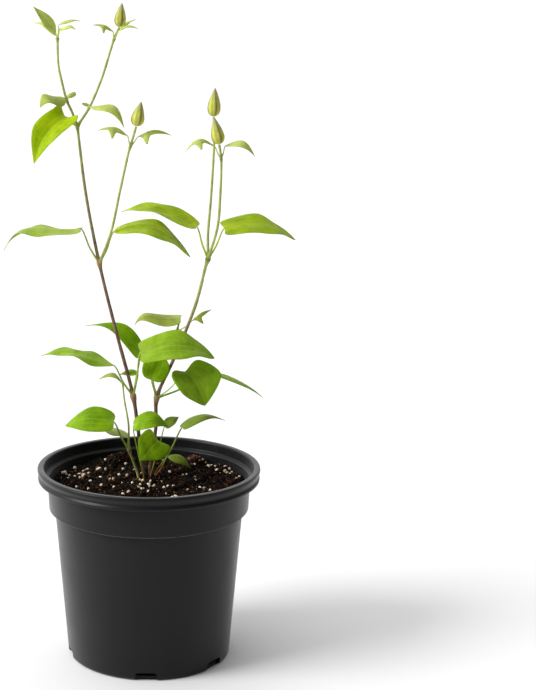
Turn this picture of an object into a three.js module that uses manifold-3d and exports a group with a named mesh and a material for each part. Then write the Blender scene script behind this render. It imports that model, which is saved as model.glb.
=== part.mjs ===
// A young clematis in bud, standing in a round plastic nursery pot of potting mix.
// Millimetres, +Z up. The origin is the centre of the pot's flat base. -Y is the front of the plant.

import * as THREE from 'three';
import { mergeVertices } from 'three/addons/utils/BufferGeometryUtils.js';
import Module from 'manifold-3d';

const wasm = await Module();
wasm.setup();

// ---- Driving dimensions ---------------------------------------------------------------------

const GAP = 0.3; // clearance left between two pieces that touch

// Pot: a 2 litre, 17 cm nursery container.
const POT_HEIGHT = 148.5;
const RIM_RADIUS = 85; // outside of the rolled rim
const RIM_DEPTH = 9.7; // height of the rolled rim
const RIM_HOLLOW = 2; // depth of the hollow between the rim's bead and the ridge at its foot
const RIM_INNER_RADIUS = 79.8;
const COLLAR_TOP_RADIUS = 77.3;
const COLLAR_FOOT_RADIUS = 76.2;
const COLLAR_FOOT_Z = 116.4;
const BODY_TOP_RADIUS = 71.7;
const BODY_TOP_Z = 114.4;
const BASE_RADIUS = 62.4;
const BASE_CORNER = 3; // rounding of the base's lower edge
const WALL = 1.3;
const FLOOR = 2.4;
const LEDGE_Z = POT_HEIGHT - RIM_DEPTH; // inner ledge under the rim
const POT_SIDES = 32;
const POT_FLAT = Math.cos(Math.PI / POT_SIDES); // middle of a flat of the wall over its corner, from the axis

// Drain notches cut through the foot of the wall.
const NOTCH_WIDTH = 16.5;
const NOTCH_HEIGHT = 6.5;
const NOTCH_INNER_RADIUS = 59.5;
const NOTCH_ANGLES = [-2, 52, 110, 168, -134, -76]; // degrees from the front, turning to the right

// Potting mix.
const SOIL_EDGE_Z = 132;
const SOIL_MOUND = 4; // rise from the wall to the stems
const SOIL_ROUGHNESS = 1.1;
const SOIL_HEAPS = [[-23, 51, 12, 9.5], [35, 50, 8.5, 6.5]]; // x, y, half width and rise
const SOIL_SIDES = 40;
const SOIL_RINGS = 7;
const SOIL_FLOOR_Z = FLOOR + GAP;
const CROWN = [-1, 9]; // where the stems leave the soil, x and y
const GRAIN_COUNT = 34; // perlite grains
const GRAIN_RADIUS = [1.3, 2.2];
const GRAIN_SINK = 0.3; // how far a grain's middle lies below the surface
const BARK_COUNT = 14;
const BARK_SIZE = [5, 3, 2.4];
const SEED = 11;

// Stems and leaves.
const STEM_SIDES = 6;
const STALK_SIDES = 5;
const STALK_RADII = [0.8, 0.5];
const SMALL_STALK_RADII = [0.5, 0.4];
const BLADE_THICKNESS = 0.7;
const BLADE_ROWS = 8;
const SMALL_BLADE_ROWS = 6;
const SMALL_BLADE_LENGTH = 30;
const BLADE_COLUMNS = 4;
const LOBE_REACH = 0.45; // share of a blade's length over which its base lobes fall back
const TOOTH_REACH = 0.08; // half width of a tooth, as a share of the length
const CREASE = 0.03; // softness of the fold along the midrib
const ROOT_DEPTH = 14; // how far a stem reaches down into the soil

// Flower buds.
const BUD_SIDES = 12;
const BUD_ROWS = 7;
const SEPAL_RIDGE = 0.1; // how far the four sepal ribs stand out, as a share of the radius

// ---- Materials ------------------------------------------------------------------------------

const finish = (color, roughness) => new THREE.MeshStandardMaterial({ color, roughness, metalness: 0 });
const POT_PLASTIC = finish(0x2b2c2e, 0.5);
const POTTING_MIX = finish(0x2a1c14, 0.95);
const WOODY_STEM = finish(0x6f5b40, 0.7);
const GREEN_STEM = finish(0x9aa84f, 0.6);
const UPPER_LEAF = finish(0x94b21a, 0.5);
const LOWER_LEAF = finish(0x5f9010, 0.5);
const PALE_LEAF = finish(0x93aa58, 0.6);
const BUD_SEPAL = finish(0xc3c85a, 0.55);

// ---- Geometry helpers -----------------------------------------------------------------------

const radians = THREE.MathUtils.degToRad;
const vec = (p) => new THREE.Vector3(...p);

// A repeatable sequence of numbers between 0 and 1.
function randomSource(seed) {
  let state = seed;
  return () => {
    state = (state * 1664525 + 1013904223) % 4294967296;
    return state / 4294967296;
  };
}

function toSolid(geometry) {
  const bare = geometry.clone();
  bare.deleteAttribute('normal');
  bare.deleteAttribute('uv');
  const merged = mergeVertices(bare, 1e-4);
  const vertProperties = new Float32Array(merged.getAttribute('position').array);
  const triVerts = new Uint32Array(merged.index.array);
  return new wasm.Manifold(new wasm.Mesh({ numProp: 3, vertProperties, triVerts }));
}

function toGeometry(solid) {
  const mesh = solid.getMesh();
  const geometry = new THREE.BufferGeometry();
  const stride = mesh.numProp;
  const positions = new Float32Array((mesh.vertProperties.length / stride) * 3);
  for (let i = 0; i < positions.length / 3; i += 1) {
    for (let k = 0; k < 3; k += 1) positions[3 * i + k] = mesh.vertProperties[stride * i + k];
  }
  geometry.setAttribute('position', new THREE.BufferAttribute(positions, 3));
  geometry.setIndex(new THREE.BufferAttribute(new Uint32Array(mesh.triVerts), 1));
  geometry.computeVertexNormals();
  return geometry;
}

const joinAll = (solids) => solids.reduce((whole, next) => whole.add(next));
const cutAll = (solid, cutters) => cutters.reduce((rest, cutter) => rest.subtract(cutter), solid);

function closedGeometry(points, triangles) {
  const geometry = new THREE.BufferGeometry();
  const places = points.flatMap((p) => [p.x, p.y, p.z]);
  geometry.setAttribute('position', new THREE.Float32BufferAttribute(places, 3));
  geometry.setIndex(triangles.flat());
  return geometry;
}

// Closes a stack of rings of equal size, each ring a list of points, between a first and a last point.
function skinRings(first, rings, last) {
  const sides = rings[0].length;
  const points = [first, ...rings.flat(), last];
  const at = (ring, side) => 1 + ring * sides + (side % sides);
  const end = points.length - 1;
  const triangles = [];
  for (let side = 0; side < sides; side += 1) {
    triangles.push([0, at(0, side + 1), at(0, side)]);
    for (let ring = 0; ring < rings.length - 1; ring += 1) {
      triangles.push([at(ring, side), at(ring, side + 1), at(ring + 1, side + 1)]);
      triangles.push([at(ring, side), at(ring + 1, side + 1), at(ring + 1, side)]);
    }
    triangles.push([end, at(rings.length - 1, side), at(rings.length - 1, side + 1)]);
  }
  return closedGeometry(points, triangles);
}

// A round rod along a smooth curve, from radii[0] at its foot to radii[1] at its tip. skin is a layer added
// all round it, also beyond its two ends.
function rod(points, radii, skin, sides, stepLength) {
  const curve = new THREE.CatmullRomCurve3(points.map(vec), false, 'centripetal');
  const steps = Math.max(2, Math.round(curve.getLength() / stepLength));
  const frames = curve.computeFrenetFrames(steps, false);
  const middles = [];
  const rings = [];
  for (let i = 0; i <= steps; i += 1) {
    const past = (i === steps ? skin : 0) - (i === 0 ? skin : 0);
    const centre = curve.getPointAt(i / steps).addScaledVector(frames.tangents[i], past);
    const radius = THREE.MathUtils.lerp(...radii, i / steps) + skin;
    const ring = [];
    for (let side = 0; side < sides; side += 1) {
      const turn = (2 * Math.PI * side) / sides;
      const out = frames.normals[i].clone().multiplyScalar(radius * Math.cos(turn));
      out.addScaledVector(frames.binormals[i], radius * Math.sin(turn));
      ring.push(centre.clone().add(out));
    }
    middles.push(centre);
    rings.push(ring);
  }
  return skinRings(middles[0], rings, middles[steps]);
}

// ---- Pot ------------------------------------------------------------------------------------

const flatPoints = (profile) => profile.map(([r, z]) => new THREE.Vector2(r, z));
const lathe = (profile, sides) => new THREE.LatheGeometry(flatPoints(profile), sides);
const upright = (geometry) => geometry.rotateX(Math.PI / 2);

function potWall() {
  const rimTop = POT_HEIGHT;
  const corner = [0, 30, 60, 90].map((angle) => [
    BASE_RADIUS - BASE_CORNER * (1 - Math.sin(radians(angle))),
    BASE_CORNER * (1 - Math.cos(radians(angle))),
  ]);
  const outside = [
    [0, 0], ...corner,
    [BODY_TOP_RADIUS, BODY_TOP_Z],
    [COLLAR_FOOT_RADIUS, COLLAR_FOOT_Z],
    [COLLAR_TOP_RADIUS, LEDGE_Z],
    [RIM_RADIUS - 0.8, LEDGE_Z],
    [RIM_RADIUS - 0.6, LEDGE_Z + 1.3],
    [RIM_RADIUS - RIM_HOLLOW, LEDGE_Z + 3.3],
    [RIM_RADIUS - 0.7 * RIM_HOLLOW, LEDGE_Z + 5.2],
    [RIM_RADIUS, rimTop - 2.2],
    [RIM_RADIUS - 0.7, rimTop - 0.6],
    [RIM_RADIUS - 2.2, rimTop],
  ];
  const inside = [
    [RIM_INNER_RADIUS + 1, rimTop],
    [RIM_INNER_RADIUS, rimTop - 1],
    [RIM_INNER_RADIUS - 0.5, LEDGE_Z + WALL + 0.6],
    [COLLAR_TOP_RADIUS - WALL, LEDGE_Z + WALL - 0.2],
    [COLLAR_FOOT_RADIUS - WALL, COLLAR_FOOT_Z + 0.85],
    [BODY_TOP_RADIUS - WALL, BODY_TOP_Z + 0.85],
    [BASE_RADIUS - WALL - 1, FLOOR],
    [0, FLOOR],
  ];
  return upright(lathe([...outside, ...inside], POT_SIDES));
}

function drainNotch(angle) {
  const depth = BASE_RADIUS + 6 - NOTCH_INNER_RADIUS;
  const notch = new THREE.BoxGeometry(NOTCH_WIDTH, depth, 2 * NOTCH_HEIGHT);
  notch.translate(0, -(NOTCH_INNER_RADIUS + depth / 2), 0);
  return notch.rotateZ(radians(angle));
}

function potSolid() {
  return cutAll(toSolid(potWall()), NOTCH_ANGLES.map((angle) => toSolid(drainNotch(angle))));
}

// ---- Potting mix ----------------------------------------------------------------------------

// Height of the soil's surface: a low mound round the stems, two heaps behind it, small clods and hollows.
function soilHeight(x, y) {
  const edge = COLLAR_TOP_RADIUS - WALL;
  const away = Math.hypot(x - CROWN[0], y - CROWN[1]);
  const mound = SOIL_MOUND * Math.max(0, 1 - away / edge) ** 0.8;
  const clods = Math.sin(0.21 * x + 1.3) * Math.cos(0.17 * y - 0.6) + 0.6 * Math.sin(0.43 * x - 0.31 * y);
  const heaps = SOIL_HEAPS.map(([heapX, heapY, size, rise]) => (
    rise * Math.exp(-(((x - heapX) / size) ** 2) - ((y - heapY) / size) ** 2)
  ));
  return SOIL_EDGE_Z + mound + SOIL_ROUGHNESS * clods + heaps[0] + heaps[1];
}

function soilBody() {
  const wallRadius = COLLAR_TOP_RADIUS - WALL - GAP - 0.4;
  const rings = [];
  const circle = (radius, z) => {
    const ring = [];
    for (let side = 0; side < SOIL_SIDES; side += 1) {
      const turn = (2 * Math.PI * side) / SOIL_SIDES;
      const x = POT_FLAT * radius * Math.cos(turn);
      const y = POT_FLAT * radius * Math.sin(turn);
      ring.push(new THREE.Vector3(x, y, z ?? soilHeight(x, y)));
    }
    return ring;
  };
  // Down in the pot the soil stays clear of the wall and of its inner step.
  rings.push(circle(BASE_RADIUS - WALL - 1 - 2 * GAP, SOIL_FLOOR_Z));
  rings.push(circle(BODY_TOP_RADIUS - WALL - 2 * GAP, BODY_TOP_Z + 1.2));
  rings.push(circle(COLLAR_FOOT_RADIUS - WALL - 3 * GAP, COLLAR_FOOT_Z + 3));
  for (let ring = SOIL_RINGS; ring >= 1; ring -= 1) rings.push(circle((wallRadius * ring) / SOIL_RINGS));
  const bottom = new THREE.Vector3(0, 0, SOIL_FLOOR_Z);
  const top = new THREE.Vector3(0, 0, soilHeight(0, 0));
  return skinRings(bottom, rings, top);
}

// Perlite grains and bark chips, half sunk into the soil's surface.
function soilLumps() {
  const random = randomSource(SEED);
  const scatter = () => {
    const turn = 2 * Math.PI * random();
    const radius = 12 + 56 * Math.sqrt(random());
    const x = radius * Math.cos(turn);
    const y = radius * Math.sin(turn);
    return [x, y, soilHeight(x, y) - GRAIN_SINK];
  };
  const lumps = [];
  for (let i = 0; i < GRAIN_COUNT; i += 1) {
    const size = THREE.MathUtils.lerp(...GRAIN_RADIUS, random());
    const grain = new THREE.OctahedronGeometry(size, 0).scale(1.2, 1, 0.9);
    grain.rotateX(3 * random()).rotateZ(3 * random());
    lumps.push(toSolid(grain.translate(...scatter())));
  }
  for (let i = 0; i < BARK_COUNT; i += 1) {
    const chip = new THREE.BoxGeometry(...BARK_SIZE).rotateX(0.6 * random()).rotateZ(3 * random());
    lumps.push(toSolid(chip.translate(...scatter())));
  }
  return lumps;
}

// ---- Stems ----------------------------------------------------------------------------------

// Each stem is a list of branches. A branch lists the points along its middle and its radius at
// the foot and at the tip; a branch marked rooted goes on down into the soil.
const LEFT_TIP = [-66.5, 12, 467];
const LEFT_BUD_NODE = [-25.5, 16, 466.5];
const LEFT_PAIR = [-60, 12, 422];
const LEFT_SIDE_NODE = [-44, 12, 417];
const MIDDLE_BUD_NODE = [-13.5, -2, 390];
const RIGHT_BUD_NODE = [53, 4, 380.5];
const LEFT_FORK = [-52.5, 9, 404];
const LEFT_JOINT = [-37, 8, 302.5];
const RIGHT_CROWN = [44.5, 16, 304.5];
const LEFT_LOW_JOINT = [-12, 14, 199];
const RIGHT_JOINT = [6, 14, 197.5];
const SIDE_SHOOT_TIP = [21.5, 27, 247];
const BASAL_NODE = [-15, 3, 159.5];
const BASAL_TIP = [-19.6, 5, 208.8];

const LEFT_STEM = [
  {
    rooted: true,
    radii: [1.5, 0.95],
    points: [
      [-3.4, 9, 136], [-5, 10, 148], [-8.7, 12, 176.5], LEFT_LOW_JOINT, [-25, 11, 251], LEFT_JOINT,
      [-46.5, 8, 353.5], LEFT_FORK,
    ],
  },
  {
    radii: [0.95, 0.8],
    points: [LEFT_FORK, [-56.5, 11, 414.5], LEFT_PAIR, [-64, 12, 437.5], [-66, 12, 448], LEFT_TIP],
  },
  {
    radii: [0.95, 0.85],
    points: [LEFT_FORK, LEFT_SIDE_NODE, [-34.5, 14, 438.5], LEFT_BUD_NODE, [-23.5, 16, 471], [-21.5, 16, 475]],
  },
  {
    radii: [0.95, 0.85],
    points: [LEFT_JOINT, [-28, 1, 327], [-21, -2, 358.5], [-14.5, -2, 387], MIDDLE_BUD_NODE, [-9.3, -2, 404.5]],
  },
];

const RIGHT_STEM = [
  {
    rooted: true,
    radii: [1.5, 1.1],
    points: [
      [0.8, 10.5, 136], [1.6, 11, 147.5], [5.5, 13, 176.5], RIGHT_JOINT, [18, 16, 225.5], [29.5, 16, 253.5],
      [36.5, 16, 273.5], [43, 16, 300], RIGHT_CROWN,
    ],
  },
  {
    radii: [1, 0.85],
    points: [RIGHT_CROWN, [44.5, 21, 323.5], [46.5, 23, 348.5], [48, 23, 376], [48.5, 23, 389.5], [48, 23, 410]],
  },
  {
    radii: [1, 0.85],
    points: [RIGHT_CROWN, [51, 9, 329.5], [52.5, 5, 350.5], RIGHT_BUD_NODE, [51.5, 4, 391]],
  },
  {
    radii: [0.8, 0.7],
    points: [RIGHT_JOINT, [3, 19, 213.5], [11, 26, 231], SIDE_SHOOT_TIP],
  },
];

const BASAL_SHOOT = [
  {
    rooted: true,
    radii: [0.95, 0.6],
    points: [[-8, 6, 136.5], [-11.5, 5, 148.5], BASAL_NODE, [-15.5, 4, 179], [-18.8, 5, 199.5], BASAL_TIP],
  },
];

const STEM_STEP = 14; // length of one straight piece of a stem
const STALK_STEP = 9;

function branchRod(branch, skin) {
  const points = [...branch.points];
  if (branch.rooted) {
    const [x, y, z] = points[0];
    points.unshift([x, y, z - ROOT_DEPTH]);
  }
  return toSolid(rod(points, branch.radii, skin, STEM_SIDES, STEM_STEP));
}

// A small knuckle where branches and leaves leave the stem.
function knuckle(point, radius) {
  const ball = new THREE.IcosahedronGeometry(radius, 0);
  return toSolid(ball.translate(...point));
}

function stemSolid(stem, skin) {
  const rods = stem.branches.map((branch) => branchRod(branch, skin));
  const balls = stem.knuckles.map(([point, radius]) => knuckle(point, radius + skin));
  return joinAll([...rods, ...balls]);
}

// ---- Leaves ---------------------------------------------------------------------------------

// Each leaf: root is where its stalk starts, base where the blade starts, tip its point.
// width is the blade's full width and arch the rise of its midrib over the straight line from base to tip.
// face is the lean of the upper side from straight up towards the front, in degrees.
// roll turns the blade about the line from base to tip, twist turns it further towards the tip, and bend
// bows the midrib sideways.
// fold turns the two halves down, or up if negative. crest is the share of the length where the arch is highest.
// wave is the height of the ripples. In a shape, lobe is the depth of the heart-shaped base, peak the share of
// the length where the blade is widest, and taper how much it narrows into its point. slender is 1 for a plain
// blade and less for a fuller one. tooth is the depth of a pointed lobe on one side, at the share toothAt; its
// sign tells the side.
const HEART = { lobe: 0.25, peak: 0.33, slender: 0.8 };
const CORDATE = { lobe: 0.25, peak: 0.45, taper: 0.2, slender: 0.75 };
const OVAL = { lobe: 0.1, peak: 0.4, slender: 0.85 };
const FULL = { lobe: 0.12, peak: 0.42, taper: 0.4, slender: 0.6 };
const LANCE = { lobe: 0.05, peak: 0.52, taper: 0.35, slender: 0.7 };
const SLIM = { lobe: 0, peak: 0.4 };
const LONG = { lobe: 0.1, peak: 0.25, taper: 0.8 };
const TOOTHED = { lobe: 0, peak: 0.42, tooth: 2.2, toothAt: 0.54 };
const SPURRED = { lobe: 0, peak: 0.42, tooth: -2.4, toothAt: 0.22 };

const LEAVES = [
  // Tip of the left shoot.
  { name: 'top_leaf_1', root: LEFT_TIP, base: [-67.5, 10, 471], tip: [-83.5, 4, 490],
    width: 9, arch: 2, face: 60, fold: -20, shape: SLIM, material: UPPER_LEAF },
  { name: 'top_leaf_2', root: LEFT_TIP, base: [-68, 18, 469], tip: [-85, 26, 478],
    width: 8, arch: 4.5, face: 10, fold: 20, shape: SLIM, material: UPPER_LEAF },
  { name: 'top_leaf_3', root: LEFT_TIP, base: [-65.5, 16, 477], tip: [-50.5, 24, 479.5],
    width: 8, arch: 2, face: 0, fold: 20, shape: SLIM, material: UPPER_LEAF },
  { name: 'top_leaf_4', root: LEFT_TIP, base: [-64.5, 8, 474], tip: [-52.5, -2, 473],
    width: 8, arch: 3, face: 15, fold: 30, crest: 0.65, shape: SLIM, material: UPPER_LEAF },
  { name: 'pair_leaf_1', root: LEFT_PAIR, base: [-61.3, 9, 424.5], tip: [-79, 0, 418],
    width: 17, arch: 6.5, face: 35, fold: 5, crest: 0.75, shape: LANCE, material: PALE_LEAF },
  { name: 'pair_leaf_2', root: LEFT_PAIR, base: [-59.5, 15, 424], tip: [-54.5, 24, 428],
    width: 9, arch: 1.5, face: -10, fold: 15, shape: SLIM, material: PALE_LEAF },
  { name: 'left_heart_leaf', root: LEFT_FORK, base: [-60.3, 1, 411.2], tip: [-83.5, -7, 378],
    width: 26, arch: 3, face: 72, fold: -24, roll: 22, bend: -5, shape: HEART, material: UPPER_LEAF },
  { name: 'fork_leaf_1', root: LEFT_SIDE_NODE, base: [-42.5, 11, 418], tip: [-18, 4, 402.5],
    width: 12, arch: 10, face: 25, fold: 10, crest: 0.55, shape: SLIM, material: UPPER_LEAF },
  { name: 'fork_leaf_2', root: LEFT_SIDE_NODE, base: [-45.5, 15, 418], tip: [-49, 26, 420],
    width: 5, arch: 1, face: 0, shape: SLIM, material: PALE_LEAF },
  // Bracts under the flower buds.
  { name: 'bract_1', root: LEFT_BUD_NODE, base: [-26, 13, 472], tip: [-40.5, 7, 476.5],
    width: 6, arch: 2.5, face: 5, fold: 45, shape: TOOTHED, material: UPPER_LEAF },
  { name: 'bract_2', root: LEFT_BUD_NODE, base: [-22, 20, 473], tip: [-9.5, 28, 480.5],
    width: 7, arch: 2, face: -5, fold: 20, shape: SLIM, material: UPPER_LEAF },
  { name: 'bract_3', root: LEFT_BUD_NODE, base: [-22, 12, 472.5], tip: [-8, 4, 474],
    width: 7, arch: 3, face: 10, fold: 20, shape: SLIM, material: UPPER_LEAF },
  { name: 'bract_4', root: MIDDLE_BUD_NODE, base: [-15.5, -4, 398], tip: [-37, -8, 402],
    width: 8, arch: 4.5, face: 0, fold: 52, shape: TOOTHED, material: UPPER_LEAF },
  { name: 'bract_5', root: MIDDLE_BUD_NODE, base: [-8, 0, 397], tip: [16.5, 4, 397.5],
    width: 8, arch: 4.5, face: 0, fold: 52, shape: SPURRED, material: UPPER_LEAF },
  { name: 'bract_6', root: RIGHT_BUD_NODE, base: [48, -2, 390], tip: [26, -8, 386],
    width: 7, arch: 8, face: 10, fold: 40, shape: TOOTHED, material: UPPER_LEAF },
  { name: 'bract_7', root: RIGHT_BUD_NODE, base: [56, 5, 390], tip: [77.5, 0, 382.5],
    width: 12, arch: 7, face: 20, fold: 5, shape: SLIM, material: UPPER_LEAF },
  // Large leaves of the upper stems.
  { name: 'left_joint_leaf_1', root: LEFT_JOINT, base: [-50.5, 3, 329.5], tip: [-109.5, 22, 310],
    width: 19, arch: 11.5, face: 12, fold: 10, crest: 0.66, wave: -2, shape: OVAL, material: UPPER_LEAF },
  { name: 'left_joint_leaf_2', root: LEFT_JOINT, base: [-26, 4, 327], tip: [31, 14, 306.5],
    width: 29, arch: 13.5, face: 20, fold: -4, crest: 0.48, wave: 1, shape: LANCE, material: UPPER_LEAF },
  { name: 'right_crown_leaf_1', root: RIGHT_CROWN, base: [36, 20, 328.5], tip: [-21.5, 42, 337],
    width: 23, arch: 8.3, face: 17, fold: -14, crest: 0.56, wave: 1, shape: OVAL, material: UPPER_LEAF },
  { name: 'right_crown_leaf_2', root: RIGHT_CROWN, base: [56.5, 18, 327.5], tip: [112, 38, 316],
    width: 28, arch: 9, face: 25, fold: -8, crest: 0.5, wave: 0.9, shape: FULL, material: UPPER_LEAF },
  // Leaves of the right stem's lower joint.
  { name: 'right_joint_leaf_1', root: RIGHT_JOINT, base: [27.3, 0, 221.5], tip: [42, -10, 197.5],
    width: 44, arch: 2, face: 74, fold: -32, roll: -25, bend: 3, shape: CORDATE, material: LOWER_LEAF },
  { name: 'right_joint_leaf_2', root: RIGHT_JOINT, base: [44.7, 24, 215.7], tip: [88.5, 32, 193.5],
    width: 19, arch: 4, face: 3, shape: SLIM, material: LOWER_LEAF },
  { name: 'right_joint_leaf_3', root: RIGHT_JOINT, base: [2, 8, 213], tip: [10, 22, 232],
    width: 22, arch: 3, face: 80, fold: -15, shape: OVAL, material: LOWER_LEAF },
  { name: 'side_shoot_leaf_1', root: SIDE_SHOOT_TIP, base: [23.8, 30, 257], tip: [-11, 36, 250],
    width: 17, arch: 7, face: 22, fold: 8, crest: 0.75, shape: FULL, material: PALE_LEAF },
  { name: 'side_shoot_leaf_2', root: SIDE_SHOOT_TIP, base: [33, 21, 256.5], tip: [48.5, 34, 262.5],
    width: 6, arch: 2, face: 5, fold: 35, shape: SPURRED, material: PALE_LEAF },
  // Leaves of the left stem's lower joint.
  { name: 'left_low_leaf_1', root: LEFT_LOW_JOINT, base: [-26.5, 10, 224], tip: [-82.5, 16, 230],
    width: 21, arch: 7, face: 12, fold: -4, crest: 0.6, wave: 1.6, shape: SLIM, material: LOWER_LEAF },
  { name: 'left_low_leaf_2', root: LEFT_LOW_JOINT, base: [-6, -6, 237], tip: [49.5, 6, 230.5],
    width: 31, arch: 11, face: 34, fold: -12, crest: 0.53, wave: 1.2, shape: FULL, material: LOWER_LEAF },
  { name: 'left_low_leaf_3', root: LEFT_LOW_JOINT, base: [-7, 28, 230.5], tip: [-49.5, 38, 249],
    width: 14, arch: 11, face: 15, roll: -70, twist: 75, shape: LONG, material: LOWER_LEAF },
  { name: 'left_low_leaf_4', root: LEFT_LOW_JOINT, base: [-8.4, 14, 216.5], tip: [-22.5, 21, 214],
    width: 10, arch: 3, face: 20, fold: 10, shape: SLIM, material: LOWER_LEAF },
  // Shoots from the soil.
  { name: 'basal_leaf_1', root: BASAL_NODE, base: [-26.5, -4, 183.5], tip: [-64, 6, 177.5],
    width: 25, arch: 6, face: 36, fold: -5, shape: OVAL, material: LOWER_LEAF },
  { name: 'basal_leaf_2', root: BASAL_TIP, base: [-20, 5, 211], tip: [-37.5, -2, 216],
    width: 12, arch: 6.5, face: 5, fold: 20, shape: SLIM, material: PALE_LEAF },
  { name: 'basal_leaf_3', root: BASAL_NODE, base: [-22, 10, 168.5], tip: [-32, 34, 169.5],
    width: 22, arch: 2, face: -35, shape: OVAL, material: PALE_LEAF },
  { name: 'low_leaf_1', root: [-3.6, 4.4, 136], base: [-11.5, -6, 181], tip: [15, -4, 179.5], rooted: true,
    width: 17, arch: 8.5, face: 36, fold: -5, shape: OVAL, material: LOWER_LEAF },
  { name: 'low_leaf_2', root: [1.2, 5, 136.5], base: [7, -20, 173.5], tip: [-6.5, -26, 159.5], rooted: true,
    width: 25, arch: 3, face: 70, fold: -5, shape: HEART, material: LOWER_LEAF },
  { name: 'low_leaf_3', root: [4.6, 8.6, 136], base: [14.5, 8, 153], tip: [32, 4, 144.5], rooted: true,
    width: 9, arch: 4, face: 30, fold: 5, shape: SLIM, material: LOWER_LEAF },
  { name: 'low_leaf_4', root: [5, 14, 137], base: [25.5, 12, 175], tip: [59, 28, 176], rooted: true,
    width: 15, arch: 7, face: 4, fold: 5, shape: OVAL, material: LOWER_LEAF },
  { name: 'low_leaf_5', root: [1.6, 16.5, 136.5], base: [12, 12, 175.5], tip: [23, 20, 181], rooted: true,
    width: 9, arch: 2, face: 35, shape: OVAL, material: LOWER_LEAF },
];

const isSmall = (leaf) => vec(leaf.base).distanceTo(vec(leaf.tip)) < SMALL_BLADE_LENGTH;

// A point of the blade's middle surface: t runs from base to tip along the midrib, s from one margin
// (-1) over the midrib (0) to the other (1).
function bladeSurface(leaf) {
  const { lobe, peak, taper = 0.3, tooth = 0, toothAt = 0.5, slender = 1 } = leaf.shape;
  const base = vec(leaf.base);
  const along = vec(leaf.tip).sub(base);
  const length = along.length();
  along.normalize();
  const lean = radians(leaf.face);
  const up = new THREE.Vector3(0, -Math.sin(lean), Math.cos(lean));
  up.addScaledVector(along, -up.dot(along)).normalize();
  const fold = radians(leaf.fold ?? 0);
  const { wave = 0, bend = 0, crest = 0.5, roll = 0, twist = 0 } = leaf;
  const power = Math.log(0.5) / Math.log(peak);
  const crestPower = Math.log(0.5) / Math.log(crest);
  return (t, s) => {
    const side = Math.abs(s);
    const near = Math.min(1, t / LOBE_REACH);
    const share = t - lobe * 6.75 * near * (1 - near) ** 2 * side;
    const toothed = THREE.MathUtils.clamp(4 * s * Math.sign(tooth), 0, 1);
    const bump = 1 + Math.abs(tooth) * toothed * Math.exp(-(((t - toothAt) / TOOTH_REACH) ** 2));
    const narrowing = (1 - taper * t ** 3) * bump;
    const half = (leaf.width / 2) * Math.max(0, Math.sin(Math.PI * t ** power)) ** slender * narrowing;
    const reach = side * half;
    const run = Math.max(0, share);
    const rise = leaf.arch * (Math.sin(Math.PI * run ** crestPower) + 2 * Math.min(0, share));
    const bow = bend * Math.sin(Math.PI * run);
    const ripple = wave * side * side * Math.sin(2 * Math.PI * (2 * t + 0.25 * Math.sign(s)));
    const crease = (Math.sqrt(side * side + CREASE) - Math.sqrt(CREASE)) * half;
    const normal = up.clone().applyAxisAngle(along, radians(roll + twist * run));
    const across = new THREE.Vector3().crossVectors(normal, along);
    const point = base.clone().addScaledVector(along, length * share);
    point.addScaledVector(across, Math.sign(s) * reach * Math.cos(fold) + bow);
    point.addScaledVector(up, rise);
    return point.addScaledVector(normal, ripple * Math.sin(Math.PI * t) - crease * Math.sin(fold));
  };
}

function bladeGeometry(leaf) {
  const surface = bladeSurface(leaf);
  const nudge = 0.02;
  const normalAt = (t, s) => {
    const tc = THREE.MathUtils.clamp(t, 2 * nudge, 1 - 2 * nudge);
    const sc = THREE.MathUtils.clamp(s, nudge - 1, 1 - nudge);
    const alongRib = surface(tc + nudge, sc).sub(surface(tc - nudge, sc));
    const acrossRib = surface(tc, sc + nudge).sub(surface(tc, sc - nudge));
    return alongRib.cross(acrossRib).normalize();
  };
  const rowCount = isSmall(leaf) ? SMALL_BLADE_ROWS : BLADE_ROWS;
  const rows = [];
  for (let i = 1; i < rowCount; i += 1) rows.push(0.5 - 0.5 * Math.cos((Math.PI * i) / rowCount));
  const columns = [];
  for (let j = 0; j <= BLADE_COLUMNS; j += 1) columns.push((2 * j) / BLADE_COLUMNS - 1);
  const stations = [[0, 0], ...rows.flatMap((t) => columns.map((s) => [t, s])), [1, 0]];
  const half = BLADE_THICKNESS / 2;
  const face = (sign) => stations.map(([t, s]) => surface(t, s).addScaledVector(normalAt(t, s), sign * half));
  const points = [...face(1), ...face(-1)];
  const under = stations.length;
  const tip = stations.length - 1;
  const at = (row, column) => 1 + row * columns.length + column;
  const upper = [];
  for (let j = 0; j < BLADE_COLUMNS; j += 1) {
    upper.push([0, at(0, j), at(0, j + 1)]);
    for (let i = 0; i < rows.length - 1; i += 1) {
      upper.push([at(i, j), at(i + 1, j), at(i + 1, j + 1)]);
      upper.push([at(i, j), at(i + 1, j + 1), at(i, j + 1)]);
    }
    upper.push([tip, at(rows.length - 1, j + 1), at(rows.length - 1, j)]);
  }
  const lower = upper.map(([a, b, c]) => [a + under, c + under, b + under]);
  const rim = [0];
  for (let i = 0; i < rows.length; i += 1) rim.push(at(i, 0));
  rim.push(tip);
  for (let i = rows.length - 1; i >= 0; i -= 1) rim.push(at(i, BLADE_COLUMNS));
  const edge = rim.flatMap((a, k) => {
    const b = rim[(k + 1) % rim.length];
    return [[a, a + under, b + under], [a, b + under, b]];
  });
  return closedGeometry(points, [...upper, ...lower, ...edge]);
}

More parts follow.
